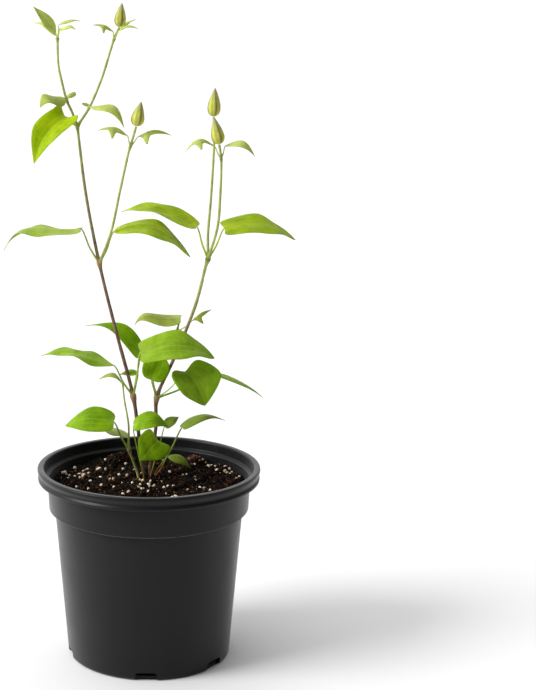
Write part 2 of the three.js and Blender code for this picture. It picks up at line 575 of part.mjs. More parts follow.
// The stalk runs from the root into the underside of the midrib.
function stalkRod(leaf, skin) {
  const surface = bladeSurface(leaf);
  const root = vec(leaf.root);
  const base = vec(leaf.base);
  const middle = root.clone().lerp(base, 0.5);
  const bow = root.distanceTo(base) * 0.06;
  middle.z -= bow;
  const points = [root.toArray(), middle.toArray(), base.toArray(), surface(0.07, 0).toArray()];
  if (leaf.rooted) points.unshift([leaf.root[0], leaf.root[1], leaf.root[2] - ROOT_DEPTH / 2]);
  const radii = isSmall(leaf) ? SMALL_STALK_RADII : STALK_RADII;
  return toSolid(rod(points, radii, skin, STALK_SIDES, STALK_STEP));
}

function leafSolid(leaf, stemSkins) {
  const whole = stalkRod(leaf, 0).add(toSolid(bladeGeometry(leaf)));
  return cutAll(whole, stemSkins);
}

// ---- Flower buds ----------------------------------------------------------------------------

const BUDS = [
  { name: 'bud_1', base: [-21.5, 16, 475.3], tip: [-19.5, 16, 492.5], width: 9 },
  { name: 'bud_2', base: [-9.3, -2, 404.8], tip: [-5.5, -2, 422.5], width: 10.5 },
  { name: 'bud_3', base: [48, 23, 410.3], tip: [49, 23, 431.5], width: 10.5 },
  { name: 'bud_4', base: [51.5, 4, 391.3], tip: [47.5, 4, 411], width: 10.5 },
];

// Four pointed sepals, closed edge to edge, each with a raised rib down its middle.
function budGeometry(bud) {
  const base = vec(bud.base);
  const along = vec(bud.tip).sub(base);
  const turn = new THREE.Quaternion().setFromUnitVectors(new THREE.Vector3(0, 0, 1), along.clone().normalize());
  const length = along.length();
  const place = (x, y, z) => new THREE.Vector3(x, y, z).applyQuaternion(turn).add(base);
  const rings = [];
  for (let row = 0; row < BUD_ROWS; row += 1) {
    const share = 0.02 + (0.9 * row) / (BUD_ROWS - 1);
    const profile = Math.sin(Math.PI * share ** 0.62) ** 0.8 * (1 - 0.25 * share);
    const ring = [];
    for (let side = 0; side < BUD_SIDES; side += 1) {
      const angle = (2 * Math.PI * side) / BUD_SIDES;
      const ridge = 1 + SEPAL_RIDGE * Math.abs(Math.cos(2 * angle));
      const radius = (bud.width / 2) * profile * ridge;
      ring.push(place(radius * Math.cos(angle), radius * Math.sin(angle), length * share));
    }
    rings.push(ring);
  }
  return skinRings(base, rings, vec(bud.tip));
}

// ---- Assembly -------------------------------------------------------------------------------

const STEMS = [
  {
    name: 'left_stem', material: WOODY_STEM, branches: LEFT_STEM,
    knuckles: [
      [LEFT_LOW_JOINT, 2.7], [LEFT_JOINT, 2.2], [LEFT_FORK, 1.7], [LEFT_PAIR, 1.3], [LEFT_SIDE_NODE, 1.3],
      [LEFT_TIP, 1.7], [LEFT_BUD_NODE, 1.4], [MIDDLE_BUD_NODE, 1.3],
    ],
  },
  {
    name: 'right_stem', material: WOODY_STEM, branches: RIGHT_STEM,
    knuckles: [[RIGHT_JOINT, 2.5], [RIGHT_CROWN, 2.2], [RIGHT_BUD_NODE, 1.3], [SIDE_SHOOT_TIP, 1.8]],
  },
  { name: 'basal_shoot', material: GREEN_STEM, branches: BASAL_SHOOT, knuckles: [[BASAL_NODE, 1.8]] },
];

const plant = new THREE.Group();

function addPiece(name, solid, material) {
  const mesh = new THREE.Mesh(toGeometry(solid), material);
  mesh.name = name;
  plant.add(mesh);
}

const stemSkins = STEMS.map((stem) => stemSolid(stem, GAP));
const rootedStalks = LEAVES.filter((leaf) => leaf.rooted).map((leaf) => stalkRod(leaf, GAP));

const soilWhole = joinAll([toSolid(soilBody()), ...soilLumps()]);

addPiece('pot', potSolid(), POT_PLASTIC);
addPiece('soil', cutAll(soilWhole, [...stemSkins, ...rootedStalks]), POTTING_MIX);
STEMS.forEach((stem) => {
  addPiece(stem.name, stemSolid(stem, 0), stem.material);
});
BUDS.forEach((bud) => addPiece(bud.name, cutAll(toSolid(budGeometry(bud)), stemSkins), BUD_SEPAL));
LEAVES.forEach((leaf) => addPiece(leaf.name, leafSolid(leaf, stemSkins), leaf.material));

export default plant;
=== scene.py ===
"""A young clematis in bud, standing in a round nursery pot of potting mix.

Sizes are in millimetres until a mesh is made, then in metres. +Z is up and -Y is the front. The origin is
the centre of the pot's flat base. Every surface is worked out with numpy from a formula that its method gives
in words.
"""

from __future__ import annotations

import logging
import math
import zlib
from collections.abc import Sequence
from dataclasses import dataclass, field
from enum import Enum

import bpy
import numpy as np
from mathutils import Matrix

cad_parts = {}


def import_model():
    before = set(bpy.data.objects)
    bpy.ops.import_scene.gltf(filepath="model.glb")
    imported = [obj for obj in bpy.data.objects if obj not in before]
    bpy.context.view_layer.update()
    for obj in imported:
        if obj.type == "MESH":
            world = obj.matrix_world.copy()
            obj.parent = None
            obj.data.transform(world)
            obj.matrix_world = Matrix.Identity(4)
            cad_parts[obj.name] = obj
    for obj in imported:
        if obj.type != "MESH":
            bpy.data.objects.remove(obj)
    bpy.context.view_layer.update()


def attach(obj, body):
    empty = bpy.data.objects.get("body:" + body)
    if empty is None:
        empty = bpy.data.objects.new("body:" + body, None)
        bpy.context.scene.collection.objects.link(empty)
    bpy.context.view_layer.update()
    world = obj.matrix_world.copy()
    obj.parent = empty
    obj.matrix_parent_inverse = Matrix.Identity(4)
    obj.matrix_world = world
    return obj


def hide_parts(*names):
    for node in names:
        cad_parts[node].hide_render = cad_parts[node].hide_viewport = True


log = logging.getLogger("clematis")

MM = 0.001
TURN = 2 * math.pi
Point = tuple[float, float, float]
Colour = tuple[float, float, float]
Relief = tuple[float, float]
Socket = bpy.types.NodeSocket

# Where the side veins of a leaf run, as shares of its half width.
VEIN_ARCS = (0.36, 0.7)


# ---- Arrays ---------------------------------------------------------------------------------------


def rgb(*screen: float) -> Colour:
    """Turns a colour as a screen shows it into linear light.

    Args:
        screen: Its red, green and blue, 0 to 255.

    Returns:
        The colour that a shader takes.
    """
    value = np.array(screen) / 255
    linear = np.where(value < 0.04045, value / 12.92, ((value + 0.055) / 1.055) ** 2.4)
    return tuple(linear.tolist())


def dimmed(colour: Colour, share: float) -> Colour:
    """Scales a colour's light."""
    return tuple(share * c for c in colour)


def unit(vectors: np.ndarray) -> np.ndarray:
    """Scales each vector of the last axis to length 1."""
    return vectors / np.maximum(np.linalg.norm(vectors, axis=-1, keepdims=True), 1e-9)


def turned(vector: np.ndarray, axis: np.ndarray, angle: np.ndarray) -> np.ndarray:
    """Turns a vector about an axis of length 1 that it is square to.

    Args:
        vector: The vector to turn, shape (3,).
        axis: The axis, shape (3,).
        angle: Angles in radians, any shape.

    Returns:
        One turned vector for each angle: vector times the cosine plus (axis cross vector) times the sine.
    """
    angle = np.asarray(angle)[..., None]
    return vector * np.cos(angle) + np.cross(axis, vector) * np.sin(angle)


def seeded(name: str) -> np.random.Generator:
    """Gives the repeatable random source that belongs to a name."""
    return np.random.default_rng(zlib.crc32(name.encode()))


def soft_noise(points: np.ndarray, size: float, source: np.random.Generator, waves: int = 14) -> np.ndarray:
    """Smooth random relief between about -1 and 1.

    Args:
        points: Places, shape (..., k).
        size: Rough width of one bump, in the units of the points.
        source: Random source.
        waves: Number of plane waves, which are added with random directions, lengths and phases.

    Returns:
        One value for each point: the sum of the waves' sines over the root of half their number.
    """
    directions = unit(source.normal(size=(waves, points.shape[-1])))
    rates = source.uniform(0.6, 1.6, waves) * TURN / (2 * size)
    phases = source.uniform(0, TURN, waves)
    total = np.sin((points @ directions.T) * rates + phases).sum(-1)
    return total / math.sqrt(waves / 2)


def smooth_path(points: Sequence[Point], step: float) -> np.ndarray:
    """Evenly spaced points along a centripetal Catmull-Rom curve.

    Args:
        points: The points that the curve passes through.
        step: Distance between two points of the result.

    Returns:
        An array of shape (n, 3). Each stretch is a cubic whose end slopes follow its neighbours, with
        the square roots of the distances as its knots.
    """
    knots = np.array(points, float)
    knots = np.vstack([2 * knots[0] - knots[1], knots, 2 * knots[-1] - knots[-2]])
    before, start, end, after = knots[:-3], knots[1:-2], knots[2:-1], knots[3:]
    gaps = np.sqrt(np.linalg.norm(np.diff(knots, axis=0), axis=1))[:, None]
    gap_a, gap_b, gap_c = gaps[:-2], gaps[1:-1], gaps[2:]
    slope_a = ((start - before) / gap_a - (end - before) / (gap_a + gap_b) + (end - start) / gap_b) * gap_b
    slope_b = ((end - start) / gap_b - (after - start) / (gap_b + gap_c) + (after - end) / gap_c) * gap_b
    share = np.linspace(0, 1, 25)[None, :, None]
    square = -3 * start + 3 * end - 2 * slope_a - slope_b
    cube = 2 * start - 2 * end + slope_a + slope_b
    line = start[:, None] + slope_a[:, None] * share + square[:, None] * share**2 + cube[:, None] * share**3
    line = np.vstack([line[:, :-1].reshape(-1, 3), line[-1, -1:]])
    run = np.concatenate([[0], np.cumsum(np.linalg.norm(np.diff(line, axis=0), axis=1))])
    stops = np.linspace(0, run[-1], max(3, round(run[-1] / step) + 1))
    return np.stack([np.interp(stops, run, line[:, axis]) for axis in range(3)], axis=1)


# ---- Surfaces -------------------------------------------------------------------------------------


@dataclass
class Skin:
    """A surface: its points in millimetres, its faces, and named values at its points."""

    points: np.ndarray
    faces: list[np.ndarray]
    values: dict[str, np.ndarray] = field(default_factory=dict)

    @staticmethod
    def rings(rings: np.ndarray, values: dict[str, np.ndarray] | None = None) -> Skin:
        """Closes a stack of rings, with a fan over its first and its last ring.

        Args:
            rings: Points, shape (rings, sides, 3). Seen from the last ring, the sides turn anticlockwise.
            values: Named values, each of shape (rings, sides).

        Returns:
            The closed surface. Each fan meets at the middle of its ring.
        """
        count, sides = rings.shape[:2]
        ends = np.stack([rings[0].mean(0), rings[-1].mean(0)])
        points = np.vstack([rings.reshape(-1, 3), ends])
        index = np.arange(count * sides).reshape(count, sides)
        after = np.roll(index, -1, axis=1)
        walls = np.stack([index[:-1], after[:-1], after[1:], index[1:]], axis=-1).reshape(-1, 4)
        first = np.stack([np.full(sides, count * sides), after[0], index[0]], axis=-1)
        last = np.stack([np.full(sides, count * sides + 1), index[-1], after[-1]], axis=-1)
        flat = {
            name: np.concatenate([value.ravel(), [value[0].mean(), value[-1].mean()]])
            for name, value in (values or {}).items()
        }
        return Skin(points, [walls, first, last], flat)

    @staticmethod
    def joined(skins: Sequence[Skin]) -> Skin:
        """Puts several surfaces into one, without welding them.

        Args:
            skins: The surfaces.

        Returns:
            One surface. A named value that a part lacks is 0 there.
        """
        names = sorted({name for skin in skins for name in skin.values})
        starts = np.cumsum([0] + [len(skin.points) for skin in skins])
        faces = [face + start for skin, start in zip(skins, starts) for face in skin.faces]
        values = {
            name: np.concatenate([skin.values.get(name, np.zeros(len(skin.points))) for skin in skins])
            for name in names
        }
        return Skin(np.vstack([skin.points for skin in skins]), faces, values)

    def piece(self, name: str, material: bpy.types.Material) -> bpy.types.Object:
        """Makes the Blender object.

        Args:
            name: The object's name.
            material: Its material.

        Returns:
            The object, smoothly shaded, with its place in its mesh, in metres.
        """
        mesh = bpy.data.meshes.new(name)
        faces = [row for face in self.faces for row in face.tolist()]
        mesh.from_pydata((self.points * MM).tolist(), [], faces)
        for key, value in self.values.items():
            layer = mesh.attributes.new(key, "FLOAT", "POINT")
            layer.data.foreach_set("value", np.asarray(value, np.float32))
        mesh.polygons.foreach_set("use_smooth", np.ones(len(mesh.polygons), bool))
        mesh.materials.append(material)
        mesh.update()
        made = bpy.data.objects.new(name, mesh)
        bpy.context.scene.collection.objects.link(made)
        return made


def tube(
    path: np.ndarray, radii: np.ndarray, sides: int, ribs: int = 0, rib_height: float = 0.0
) -> np.ndarray:
    """A round section carried along a path.

    Args:
        path: Points along the middle, shape (n, 3).
        radii: The radius at each point.
        sides: Points round the section.
        ribs: Number of lengthwise ribs.
        rib_height: Height of the ribs as a share of the radius.

    Returns:
        Rings of shape (n, sides, 3): the path plus the radius times a circle that is square to it, with the
        radius swelling by the ribs' cosine.
    """
    ahead = unit(np.gradient(path, axis=0))
    level = np.array([0.0, 1, 0]) if abs(unit(path[-1] - path[0])[1]) < 0.75 else np.array([1.0, 0, 0])
    side = unit(np.cross(level, ahead))
    other = np.cross(ahead, side)
    angle = np.arange(sides) * TURN / sides
    radius = radii[:, None] * (1 + rib_height * np.cos(ribs * angle))
    circle = np.cos(angle)[None, :, None] * side[:, None] + np.sin(angle)[None, :, None] * other[:, None]
    return path[:, None] + radius[..., None] * circle


# ---- Shader graphs --------------------------------------------------------------------------------


class Graph:
    """Adds nodes to one node tree and joins them."""

    def __init__(self, tree: bpy.types.NodeTree) -> None:
        """Keeps the tree."""
        self.tree = tree

    def put(self, socket: Socket, value: object) -> None:
        """Joins a socket to an output, or sets its own value.

        Args:
            socket: The socket to fill.
            value: Another node's output, a number, a vector or a colour.
        """
        if isinstance(value, Socket):
            self.tree.links.new(value, socket)
        else:
            socket.default_value = (*value, 1.0) if socket.type == "RGBA" else value

    def node(self, kind: str, given: dict | None = None, **settings: object) -> bpy.types.Node:
        """Adds a node.

        Args:
            kind: Its kind.
            given: What its input sockets get, by name or number.
            settings: Its own properties, which are set first.

        Returns:
            The node.
        """
        made = self.tree.nodes.new(kind)
        for key, value in settings.items():
            setattr(made, key, value)
        for key, value in (given or {}).items():
            self.put(made.inputs[key], value)
        return made

    def math(self, operation: str, a: object, b: object = 0.0) -> Socket:
        """Works out one sum, product or function of two values."""
        return self.node("ShaderNodeMath", {0: a, 1: b}, operation=operation).outputs[0]

    def times(self, a: object, b: object) -> Socket:
        """Multiplies two values."""
        return self.math("MULTIPLY", a, b)

    def ease(self, value: object, low: float, high: float, start: float = 0.0, end: float = 1.0) -> Socket:
        """Moves smoothly from start to end as a value goes from low to high."""
        given = dict(enumerate((value, low, high, start, end)))
        return self.node("ShaderNodeMapRange", given, interpolation_type="SMOOTHSTEP").outputs[0]

    def blend(self, share: object, a: object, b: object) -> Socket:
        """Mixes two colours."""
        given = {"Factor": share, "A": a, "B": b}
        return self.node("ShaderNodeMix", given, data_type="RGBA").outputs["Result"]

    def noise(self, place: object, scale: object, detail: float = 3.0, rough: float = 0.55) -> Socket:
        """Gives cloudy noise at a place."""
        given = {"Vector": place, "Scale": scale, "Detail": detail, "Roughness": rough}
        return self.node("ShaderNodeTexNoise", given).outputs["Fac"]

    def value(self, name: str) -> Socket:
        """Reads a named value of the mesh's points."""
        return self.node("ShaderNodeAttribute", attribute_name=name).outputs["Fac"]

    def group(self, tree: bpy.types.NodeTree, **given: object) -> bpy.types.Node:
        """Adds a node group and fills its inputs."""
        return self.node("ShaderNodeGroup", given, node_tree=tree)


def new_group(name: str, inputs: str, outputs: str) -> tuple[Graph, Sequence[Socket], Sequence[Socket]]:
    """Starts a shader node group.

    Args:
        name: The group's name.
        inputs: The names of its inputs, with spaces between them.
        outputs: The same for its outputs.

    Returns:
        Its graph, its input node's sockets and its output node's sockets. A socket is a number unless
        its name is that of a vector or a colour.
    """
    kinds = {"Vector": "Vector", "Main": "Color", "Patch": "Color", "Color": "Color"}
    tree = bpy.data.node_groups.new(name, "ShaderNodeTree")
    for side, labels in (("INPUT", inputs), ("OUTPUT", outputs)):
        for label in labels.split():
            kind = f"NodeSocket{kinds.get(label, 'Float')}"
            tree.interface.new_socket(name=label, in_out=side, socket_type=kind)
    graph = Graph(tree)
    return graph, graph.node("NodeGroupInput").outputs, graph.node("NodeGroupOutput").inputs


def mottle_group() -> bpy.types.NodeTree:
    """Makes the group that lays one colour in soft patches over another.

    Returns:
        The group. Its patches are broken by flecks of a sixth of their size.
    """
    graph, given, gives = new_group("mottle", "Vector Size Main Patch", "Color")
    rate = graph.math("DIVIDE", 1.0, given["Size"])
    patches = graph.ease(graph.noise(given["Vector"], rate, 2.0), 0.38, 0.66)
    flecks = graph.noise(given["Vector"], graph.times(rate, 6.0), 3.0)
    share = graph.times(patches, graph.ease(flecks, 0.3, 0.7, 0.55, 1.0))
    graph.put(gives["Color"], graph.blend(share, given["Main"], given["Patch"]))
    return graph.tree


def pores_group() -> bpy.types.NodeTree:
    """Makes the group of a fine rough relief.

    Returns:
        The group. It gives the height and a mask of its hollows, which the grains darken as painted shade.
    """
    graph, given, gives = new_group("pores", "Vector Size", "Height Hollows")
    height = graph.noise(given["Vector"], graph.math("DIVIDE", 1.0, given["Size"]), 5.0, 0.6)
    graph.put(gives["Height"], height)
    graph.put(gives["Hollows"], graph.ease(height, 0.5, 0.3))
    return graph.tree


def veins_group() -> bpy.types.NodeTree:
    """Makes the group of a leaf's veins.

    Returns:
        The group. Ribs are the midrib and two arcs on each side, from base to tip. Net is the fine net.
    """
    graph, given, gives = new_group("leaf veins", "Along Across Length", "Ribs Net")
    side = graph.math("ABSOLUTE", given["Across"])
    ribs = graph.ease(side, 0.055, 0.0)
    for arc, width, strength in zip(VEIN_ARCS, (0.034, 0.028), (0.75, 0.5)):
        off = graph.math("ABSOLUTE", graph.math("SUBTRACT", side, arc))
        ribs = graph.math("MAXIMUM", ribs, graph.ease(off, width, 0.0, 0.0, strength))
    run = graph.times(given["Along"], given["Length"])
    slant = graph.math("ADD", graph.times(given["Across"], 5.0), given["Along"])
    place = graph.node("ShaderNodeCombineXYZ", {"X": run, "Y": slant})
    cells = {"Vector": place.outputs[0], "Scale": 1.0}
    away = graph.node("ShaderNodeTexVoronoi", cells, feature="DISTANCE_TO_EDGE").outputs["Distance"]
    graph.put(gives["Ribs"], ribs)
    graph.put(gives["Net"], graph.ease(away, 0.14, 0.0))
    return graph.tree


@dataclass
class Effects:
    """The node groups that several materials share."""

    mottle: bpy.types.NodeTree = field(default_factory=mottle_group)
    pores: bpy.types.NodeTree = field(default_factory=pores_group)
    veins: bpy.types.NodeTree = field(default_factory=veins_group)


class Paint(Graph):
    """One material in the making: its graph, its Principled shader and the shared groups."""

    def __init__(self, name: str, effects: Effects | None = None, **fixed: object) -> None:
        """Starts the material.

        Args:
            name: Its name.
            effects: The shared node groups.
            fixed: The shader's constant values, by socket name with _ for a space.
        """
        self.material = bpy.data.materials.new(name)
        self.material.use_nodes = True
        super().__init__(self.material.node_tree)
        self.effects = effects
        self.shader = next(n for n in self.tree.nodes if n.type == "BSDF_PRINCIPLED")
        self.place = self.node("ShaderNodeTexCoord").outputs["Object"]
        for key, value in fixed.items():
            self.put(self.shader.inputs[key.replace("_", " ")], value)

    def mottle(self, size: float, main: object, patch: object) -> Socket:
        """Lays one colour in patches of a size over another."""
        made = self.group(self.effects.mottle, Vector=self.place, Size=size, Main=main, Patch=patch)
        return made.outputs["Color"]

    def pores(self, size: float, output: str = "Height") -> Socket:
        """Gives the height of a relief whose pores have a size, or the mask of its hollows for painted shade.
        """
        return self.group(self.effects.pores, Vector=self.place, Size=size).outputs[output]

    def lay(self, colour: object, *layers: tuple[object, float, object]) -> object:
        """Lays colours over a colour, each through its own mask.

        Args:
            colour: The first colour.
            layers: For each colour over it, its mask, its strength and the colour.

        Returns:
            The mixed colour.
        """
        for mask, strength, over in layers:
            share = mask if strength == 1 else self.times(mask, strength)
            colour = self.blend(share, colour, over)
        return colour

    def finish(self, colour: object, rough: object, height: object, relief: Relief) -> bpy.types.Material:
        """Joins the graph to the shader.

        Args:
            colour: The base colour.
            rough: The roughness.
            height: The relief's height, 0 to 1.
            relief: Its depth in metres and its strength.

        Returns:
            The material.
        """
        given = {"Height": height, "Distance": relief[0], "Strength": relief[1]}
        normal = self.node("ShaderNodeBump", given).outputs["Normal"]
        for name, value in (("Base Color", colour), ("Roughness", rough), ("Normal", normal)):
            self.put(self.shader.inputs[name], value)
        return self.material


# ---- Finishes -------------------------------------------------------------------------------------


@dataclass(frozen=True)
class LeafFinish:
    """The living green of a leaf, paler below, with light veins and a fine dark margin."""

    name: str
    slot: str
    upper: Colour
    patch: Colour
    under: Colour
    vein: Colour
    rust: Colour = rgb(150, 92, 52)
    net_scale: float = 26.0
    roughness: tuple[float, float] = (0.4, 0.56)
    roughness_below: float = 0.18
    relief: Relief = (0.0002, 0.5)

    def material(self, effects: Effects) -> bpy.types.Material:
        """Builds the material from the shared groups.

        Args:
            effects: The shared node groups.

        Returns:
            The material.
        """
        paint = Paint(
            self.name, effects, Specular_IOR_Level=0.11, Specular_Tint=(0.85, 1.0, 0.35),
            Subsurface_Weight=0.35, Subsurface_Radius=(0.8, 1.0, 0.25), Subsurface_Scale=0.0011,
        )
        along, across, below, rust = (paint.value(name) for name in ("along", "across", "below", "rust"))
        veins = paint.group(effects.veins, Along=along, Across=across, Length=self.net_scale).outputs
        base = paint.ease(along, 0.2, 0.0)
        edge = paint.ease(paint.math("ABSOLUTE", across), 0.955, 1.0)
        face = paint.mottle(0.013, self.upper, self.patch)
        face = paint.lay(face, (veins["Net"], 0.1, self.vein), (veins["Ribs"], 0.38, self.vein))
        back = paint.lay(self.under, (veins["Ribs"], 0.55, self.vein))
        margin = dimmed(self.patch, 0.45)
        layers = ((base, 0.35, self.vein), (below, 1, back), (rust, 1, self.rust), (edge, 0.4, margin))
        colour = paint.lay(face, *layers)
        height = paint.math("SUBTRACT", paint.times(veins["Net"], -0.35), paint.times(veins["Ribs"], 0.5))
        rough = paint.ease(paint.noise(paint.place, 260.0), 0.3, 0.7, *self.roughness)
        rough = paint.math("ADD", rough, paint.times(below, self.roughness_below))
        return paint.finish(colour, rough, height, self.relief)


@dataclass(frozen=True)
class StemFinish:
    """A wiry stem: brown and woody below, green where it is young, tan or dark green at its joints."""

    name: str = "clematis stem"
    wood: Colour = rgb(122, 96, 78)
    wood_dark: Colour = rgb(88, 64, 52)
    green: Colour = rgb(172, 180, 102)
    green_dark: Colour = rgb(144, 154, 76)
    joint: Colour = rgb(96, 112, 30)
    blush: Colour = rgb(176, 136, 106)
    roughness: tuple[float, float] = (0.48, 0.66)
    relief: Relief = (0.00018, 0.6)

    def material(self, effects: Effects) -> bpy.types.Material:
        """Builds the material from the shared groups.

        Args:
            effects: The shared node groups.

        Returns:
            The material.
        """
        glow = {"Subsurface_Weight": 0.08, "Subsurface_Scale": 0.0008}
        paint = Paint(self.name, effects, Specular_IOR_Level=0.25, **glow)
        young = paint.mottle(0.006, self.green, self.green_dark)
        bark = paint.mottle(0.004, self.wood, self.wood_dark)
        ragged = paint.times(paint.math("SUBTRACT", paint.noise(paint.place, 180.0), 0.5), 0.5)
        wood = paint.ease(paint.math("ADD", paint.value("wood"), ragged), 0.12, 0.88)
        joint, blush = paint.value("joint"), paint.value("blush")
        colour = paint.lay(young, (wood, 1, bark), (joint, 0.55, self.joint), (blush, 0.75, self.blush))
        rough = paint.ease(wood, 0.0, 1.0, *self.roughness)
        return paint.finish(colour, rough, paint.pores(0.0016), self.relief)


@dataclass(frozen=True)
class BudFinish:
    """Downy closed sepals: yellow-green fields between dark olive ribs, greyer towards the tip."""

    name: str = "bud sepals"
    field_colour: Colour = rgb(196, 198, 84)
    shade: Colour = rgb(164, 168, 84)
    rib: Colour = rgb(112, 98, 62)
    tip: Colour = rgb(142, 140, 104)
    roughness: tuple[float, float] = (0.52, 0.7)
    relief: Relief = (0.00012, 0.5)

    def material(self, effects: Effects) -> bpy.types.Material:
        """Builds the material from the shared groups.

        Args:
            effects: The shared node groups.

        Returns:
            The material.
        """
        paint = Paint(
            self.name, effects, Specular_IOR_Level=0.2, Sheen_Weight=0.12, Sheen_Roughness=0.4,
            Subsurface_Weight=0.25, Subsurface_Radius=(0.8, 1.0, 0.3), Subsurface_Scale=0.0012,
        )
        rib, seam, along = (paint.value(name) for name in ("rib", "seam", "along"))
        upper = paint.ease(along, 0.45, 1.0)
        skin = paint.mottle(0.005, self.field_colour, self.shade)
        colour = paint.lay(skin, (rib, 0.95, self.rib), (seam, 0.5, self.shade), (upper, 0.8, self.tip))
        pores = paint.pores(0.0009)
        return paint.finish(colour, paint.ease(pores, 0.2, 0.8, *self.roughness), pores, self.relief)


@dataclass(frozen=True)
class PotFinish:
    """Charcoal moulded plastic with a soft satin sheen, dusted near the potting mix."""

    name: str = "moulded pot plastic"
    body: Colour = (0.0026, 0.0027, 0.0031)
    patch: Colour = (0.0036, 0.0037, 0.0041)
    dust: Colour = rgb(96, 84, 72)
    roughness: tuple[float, float] = (0.3, 0.38)
    relief: Relief = (0.0001, 0.35)

    def material(self, effects: Effects) -> bpy.types.Material:
        """Builds the material from the shared groups.

        Args:
            effects: The shared node groups.

        Returns:
            The material.
        """
        sheen = {"Sheen_Weight": 0.15, "Sheen_Roughness": 0.5}
        paint = Paint(self.name, effects, Specular_IOR_Level=0.165, **sheen)
        specks = paint.ease(paint.noise(paint.place, 900.0, 2.0), 0.66, 0.8)
        dusty = paint.times(paint.times(specks, paint.value("dust")), 0.7)
        colour = paint.lay(paint.mottle(0.05, self.body, self.patch), (dusty, 1, self.dust))
        waves = paint.times(paint.noise(paint.place, 55.0), 1.5)
        rough = paint.ease(paint.noise(paint.place, 35.0, 4.0), 0.3, 0.7, *self.roughness)
        rough = paint.math("ADD", rough, paint.times(dusty, 0.4))
        return paint.finish(colour, rough, paint.math("ADD", paint.pores(0.0011), waves), self.relief)


@dataclass(frozen=True)
class GrainFinish:
    """Loose grains, each with its own tint between two colours, and a rough crumbly surface whose hollows are
    darkened as painted shade.
    """

    name: str
    dark: Colour
    light: Colour
    size: float = 0.0012
    roughness: tuple[float, float] = (0.73, 0.93)
    relief: Relief = (0.0004, 0.8)

    def material(self, effects: Effects) -> bpy.types.Material:
        """Builds the material from the shared groups.

        Args:
            effects: The shared node groups.

        Returns:
            The material.
        """
        paint = Paint(self.name, effects, Specular_IOR_Level=0.08)
        own = paint.blend(paint.value("tint"), self.dark, self.light)
        hollow_shade = paint.pores(self.size, "Hollows")
        patches = paint.mottle(self.size * 3, own, self.dark)
        # Painted shade: the hollows of the fine relief turn towards half the dark colour.
        colour = paint.lay(patches, (hollow_shade, 0.45, dimmed(self.dark, 0.5)))
        height = paint.pores(self.size)
        return paint.finish(colour, paint.ease(height, 0.3, 0.7, *self.roughness), height, self.relief)


# ---- Leaves ---------------------------------------------------------------------------------------


@dataclass(frozen=True)
class Outline:
    """The shape of a blade: depth of its lobes, share of its length where it is widest, taper and tooth.

    tooth is the depth of a tooth that stands at the share tooth_at on one side, which the sign gives.
    A slender blade is 1. A smaller number makes it fuller and rounder.
    """

    lobe: float
    peak: float
    taper: float = 0.3
    tooth: float = 0.0
    tooth_at: float = 0.5
    slender: float = 1.0


class Shape(Enum):
    """The outlines that this plant's leaves have."""

    HEART = Outline(lobe=0.25, peak=0.33, slender=0.8)
    CORDATE = Outline(lobe=0.25, peak=0.45, taper=0.2, slender=0.75)
    OVAL = Outline(lobe=0.1, peak=0.4, slender=0.85)
    FULL = Outline(lobe=0.12, peak=0.42, taper=0.4, slender=0.6)
    LANCE = Outline(lobe=0.05, peak=0.52, taper=0.35, slender=0.7)
    SLIM = Outline(lobe=0.0, peak=0.4)
    LONG = Outline(lobe=0.1, peak=0.25, taper=0.8)
    TOOTHED = Outline(lobe=0.0, peak=0.42, tooth=2.2, tooth_at=0.54)
    SPURRED = Outline(lobe=0.0, peak=0.42, tooth=-2.4, tooth_at=0.22)


class Tone(Enum):
    """The eight tones of leaf: name, slot, then the colours of upper side, patches, lower side and veins."""

    TENDER = LeafFinish("tender leaf", "upper_leaf",
                        rgb(180, 190, 100), rgb(156, 168, 74), rgb(166, 174, 104), rgb(196, 204, 124))
    UPPER = LeafFinish("young leaf", "upper_leaf",
                       rgb(148, 172, 0), rgb(120, 148, 0), rgb(158, 170, 84), rgb(184, 196, 60))
    SOFT = LeafFinish("soft green leaf", "upper_leaf",
                      rgb(142, 164, 64), rgb(122, 144, 48), rgb(150, 164, 90), rgb(176, 188, 108))
    LOWER = LeafFinish("deep green leaf", "lower_leaf",
                       rgb(116, 154, 4), rgb(86, 124, 0), rgb(132, 156, 66), rgb(158, 184, 70))
    FRESH = LeafFinish("fresh green leaf", "lower_leaf",
                       rgb(132, 164, 32), rgb(106, 142, 16), rgb(142, 164, 74), rgb(170, 192, 84))
    # DEEP is the deep leaf green darkened further: painted shade for the low front leaf.
    DEEP = LeafFinish("leaf in painted shade", "lower_leaf",
                      rgb(96, 128, 2), rgb(70, 102, 0), rgb(120, 144, 56), rgb(136, 162, 50))
    DULL = LeafFinish("dull green leaf", "lower_leaf",
                      rgb(114, 134, 38), rgb(92, 112, 26), rgb(134, 150, 76), rgb(152, 168, 84))
    PALE = LeafFinish("pale leaf", "pale_leaf",
                      rgb(150, 164, 70), rgb(128, 144, 54), rgb(150, 162, 92), rgb(180, 190, 112))


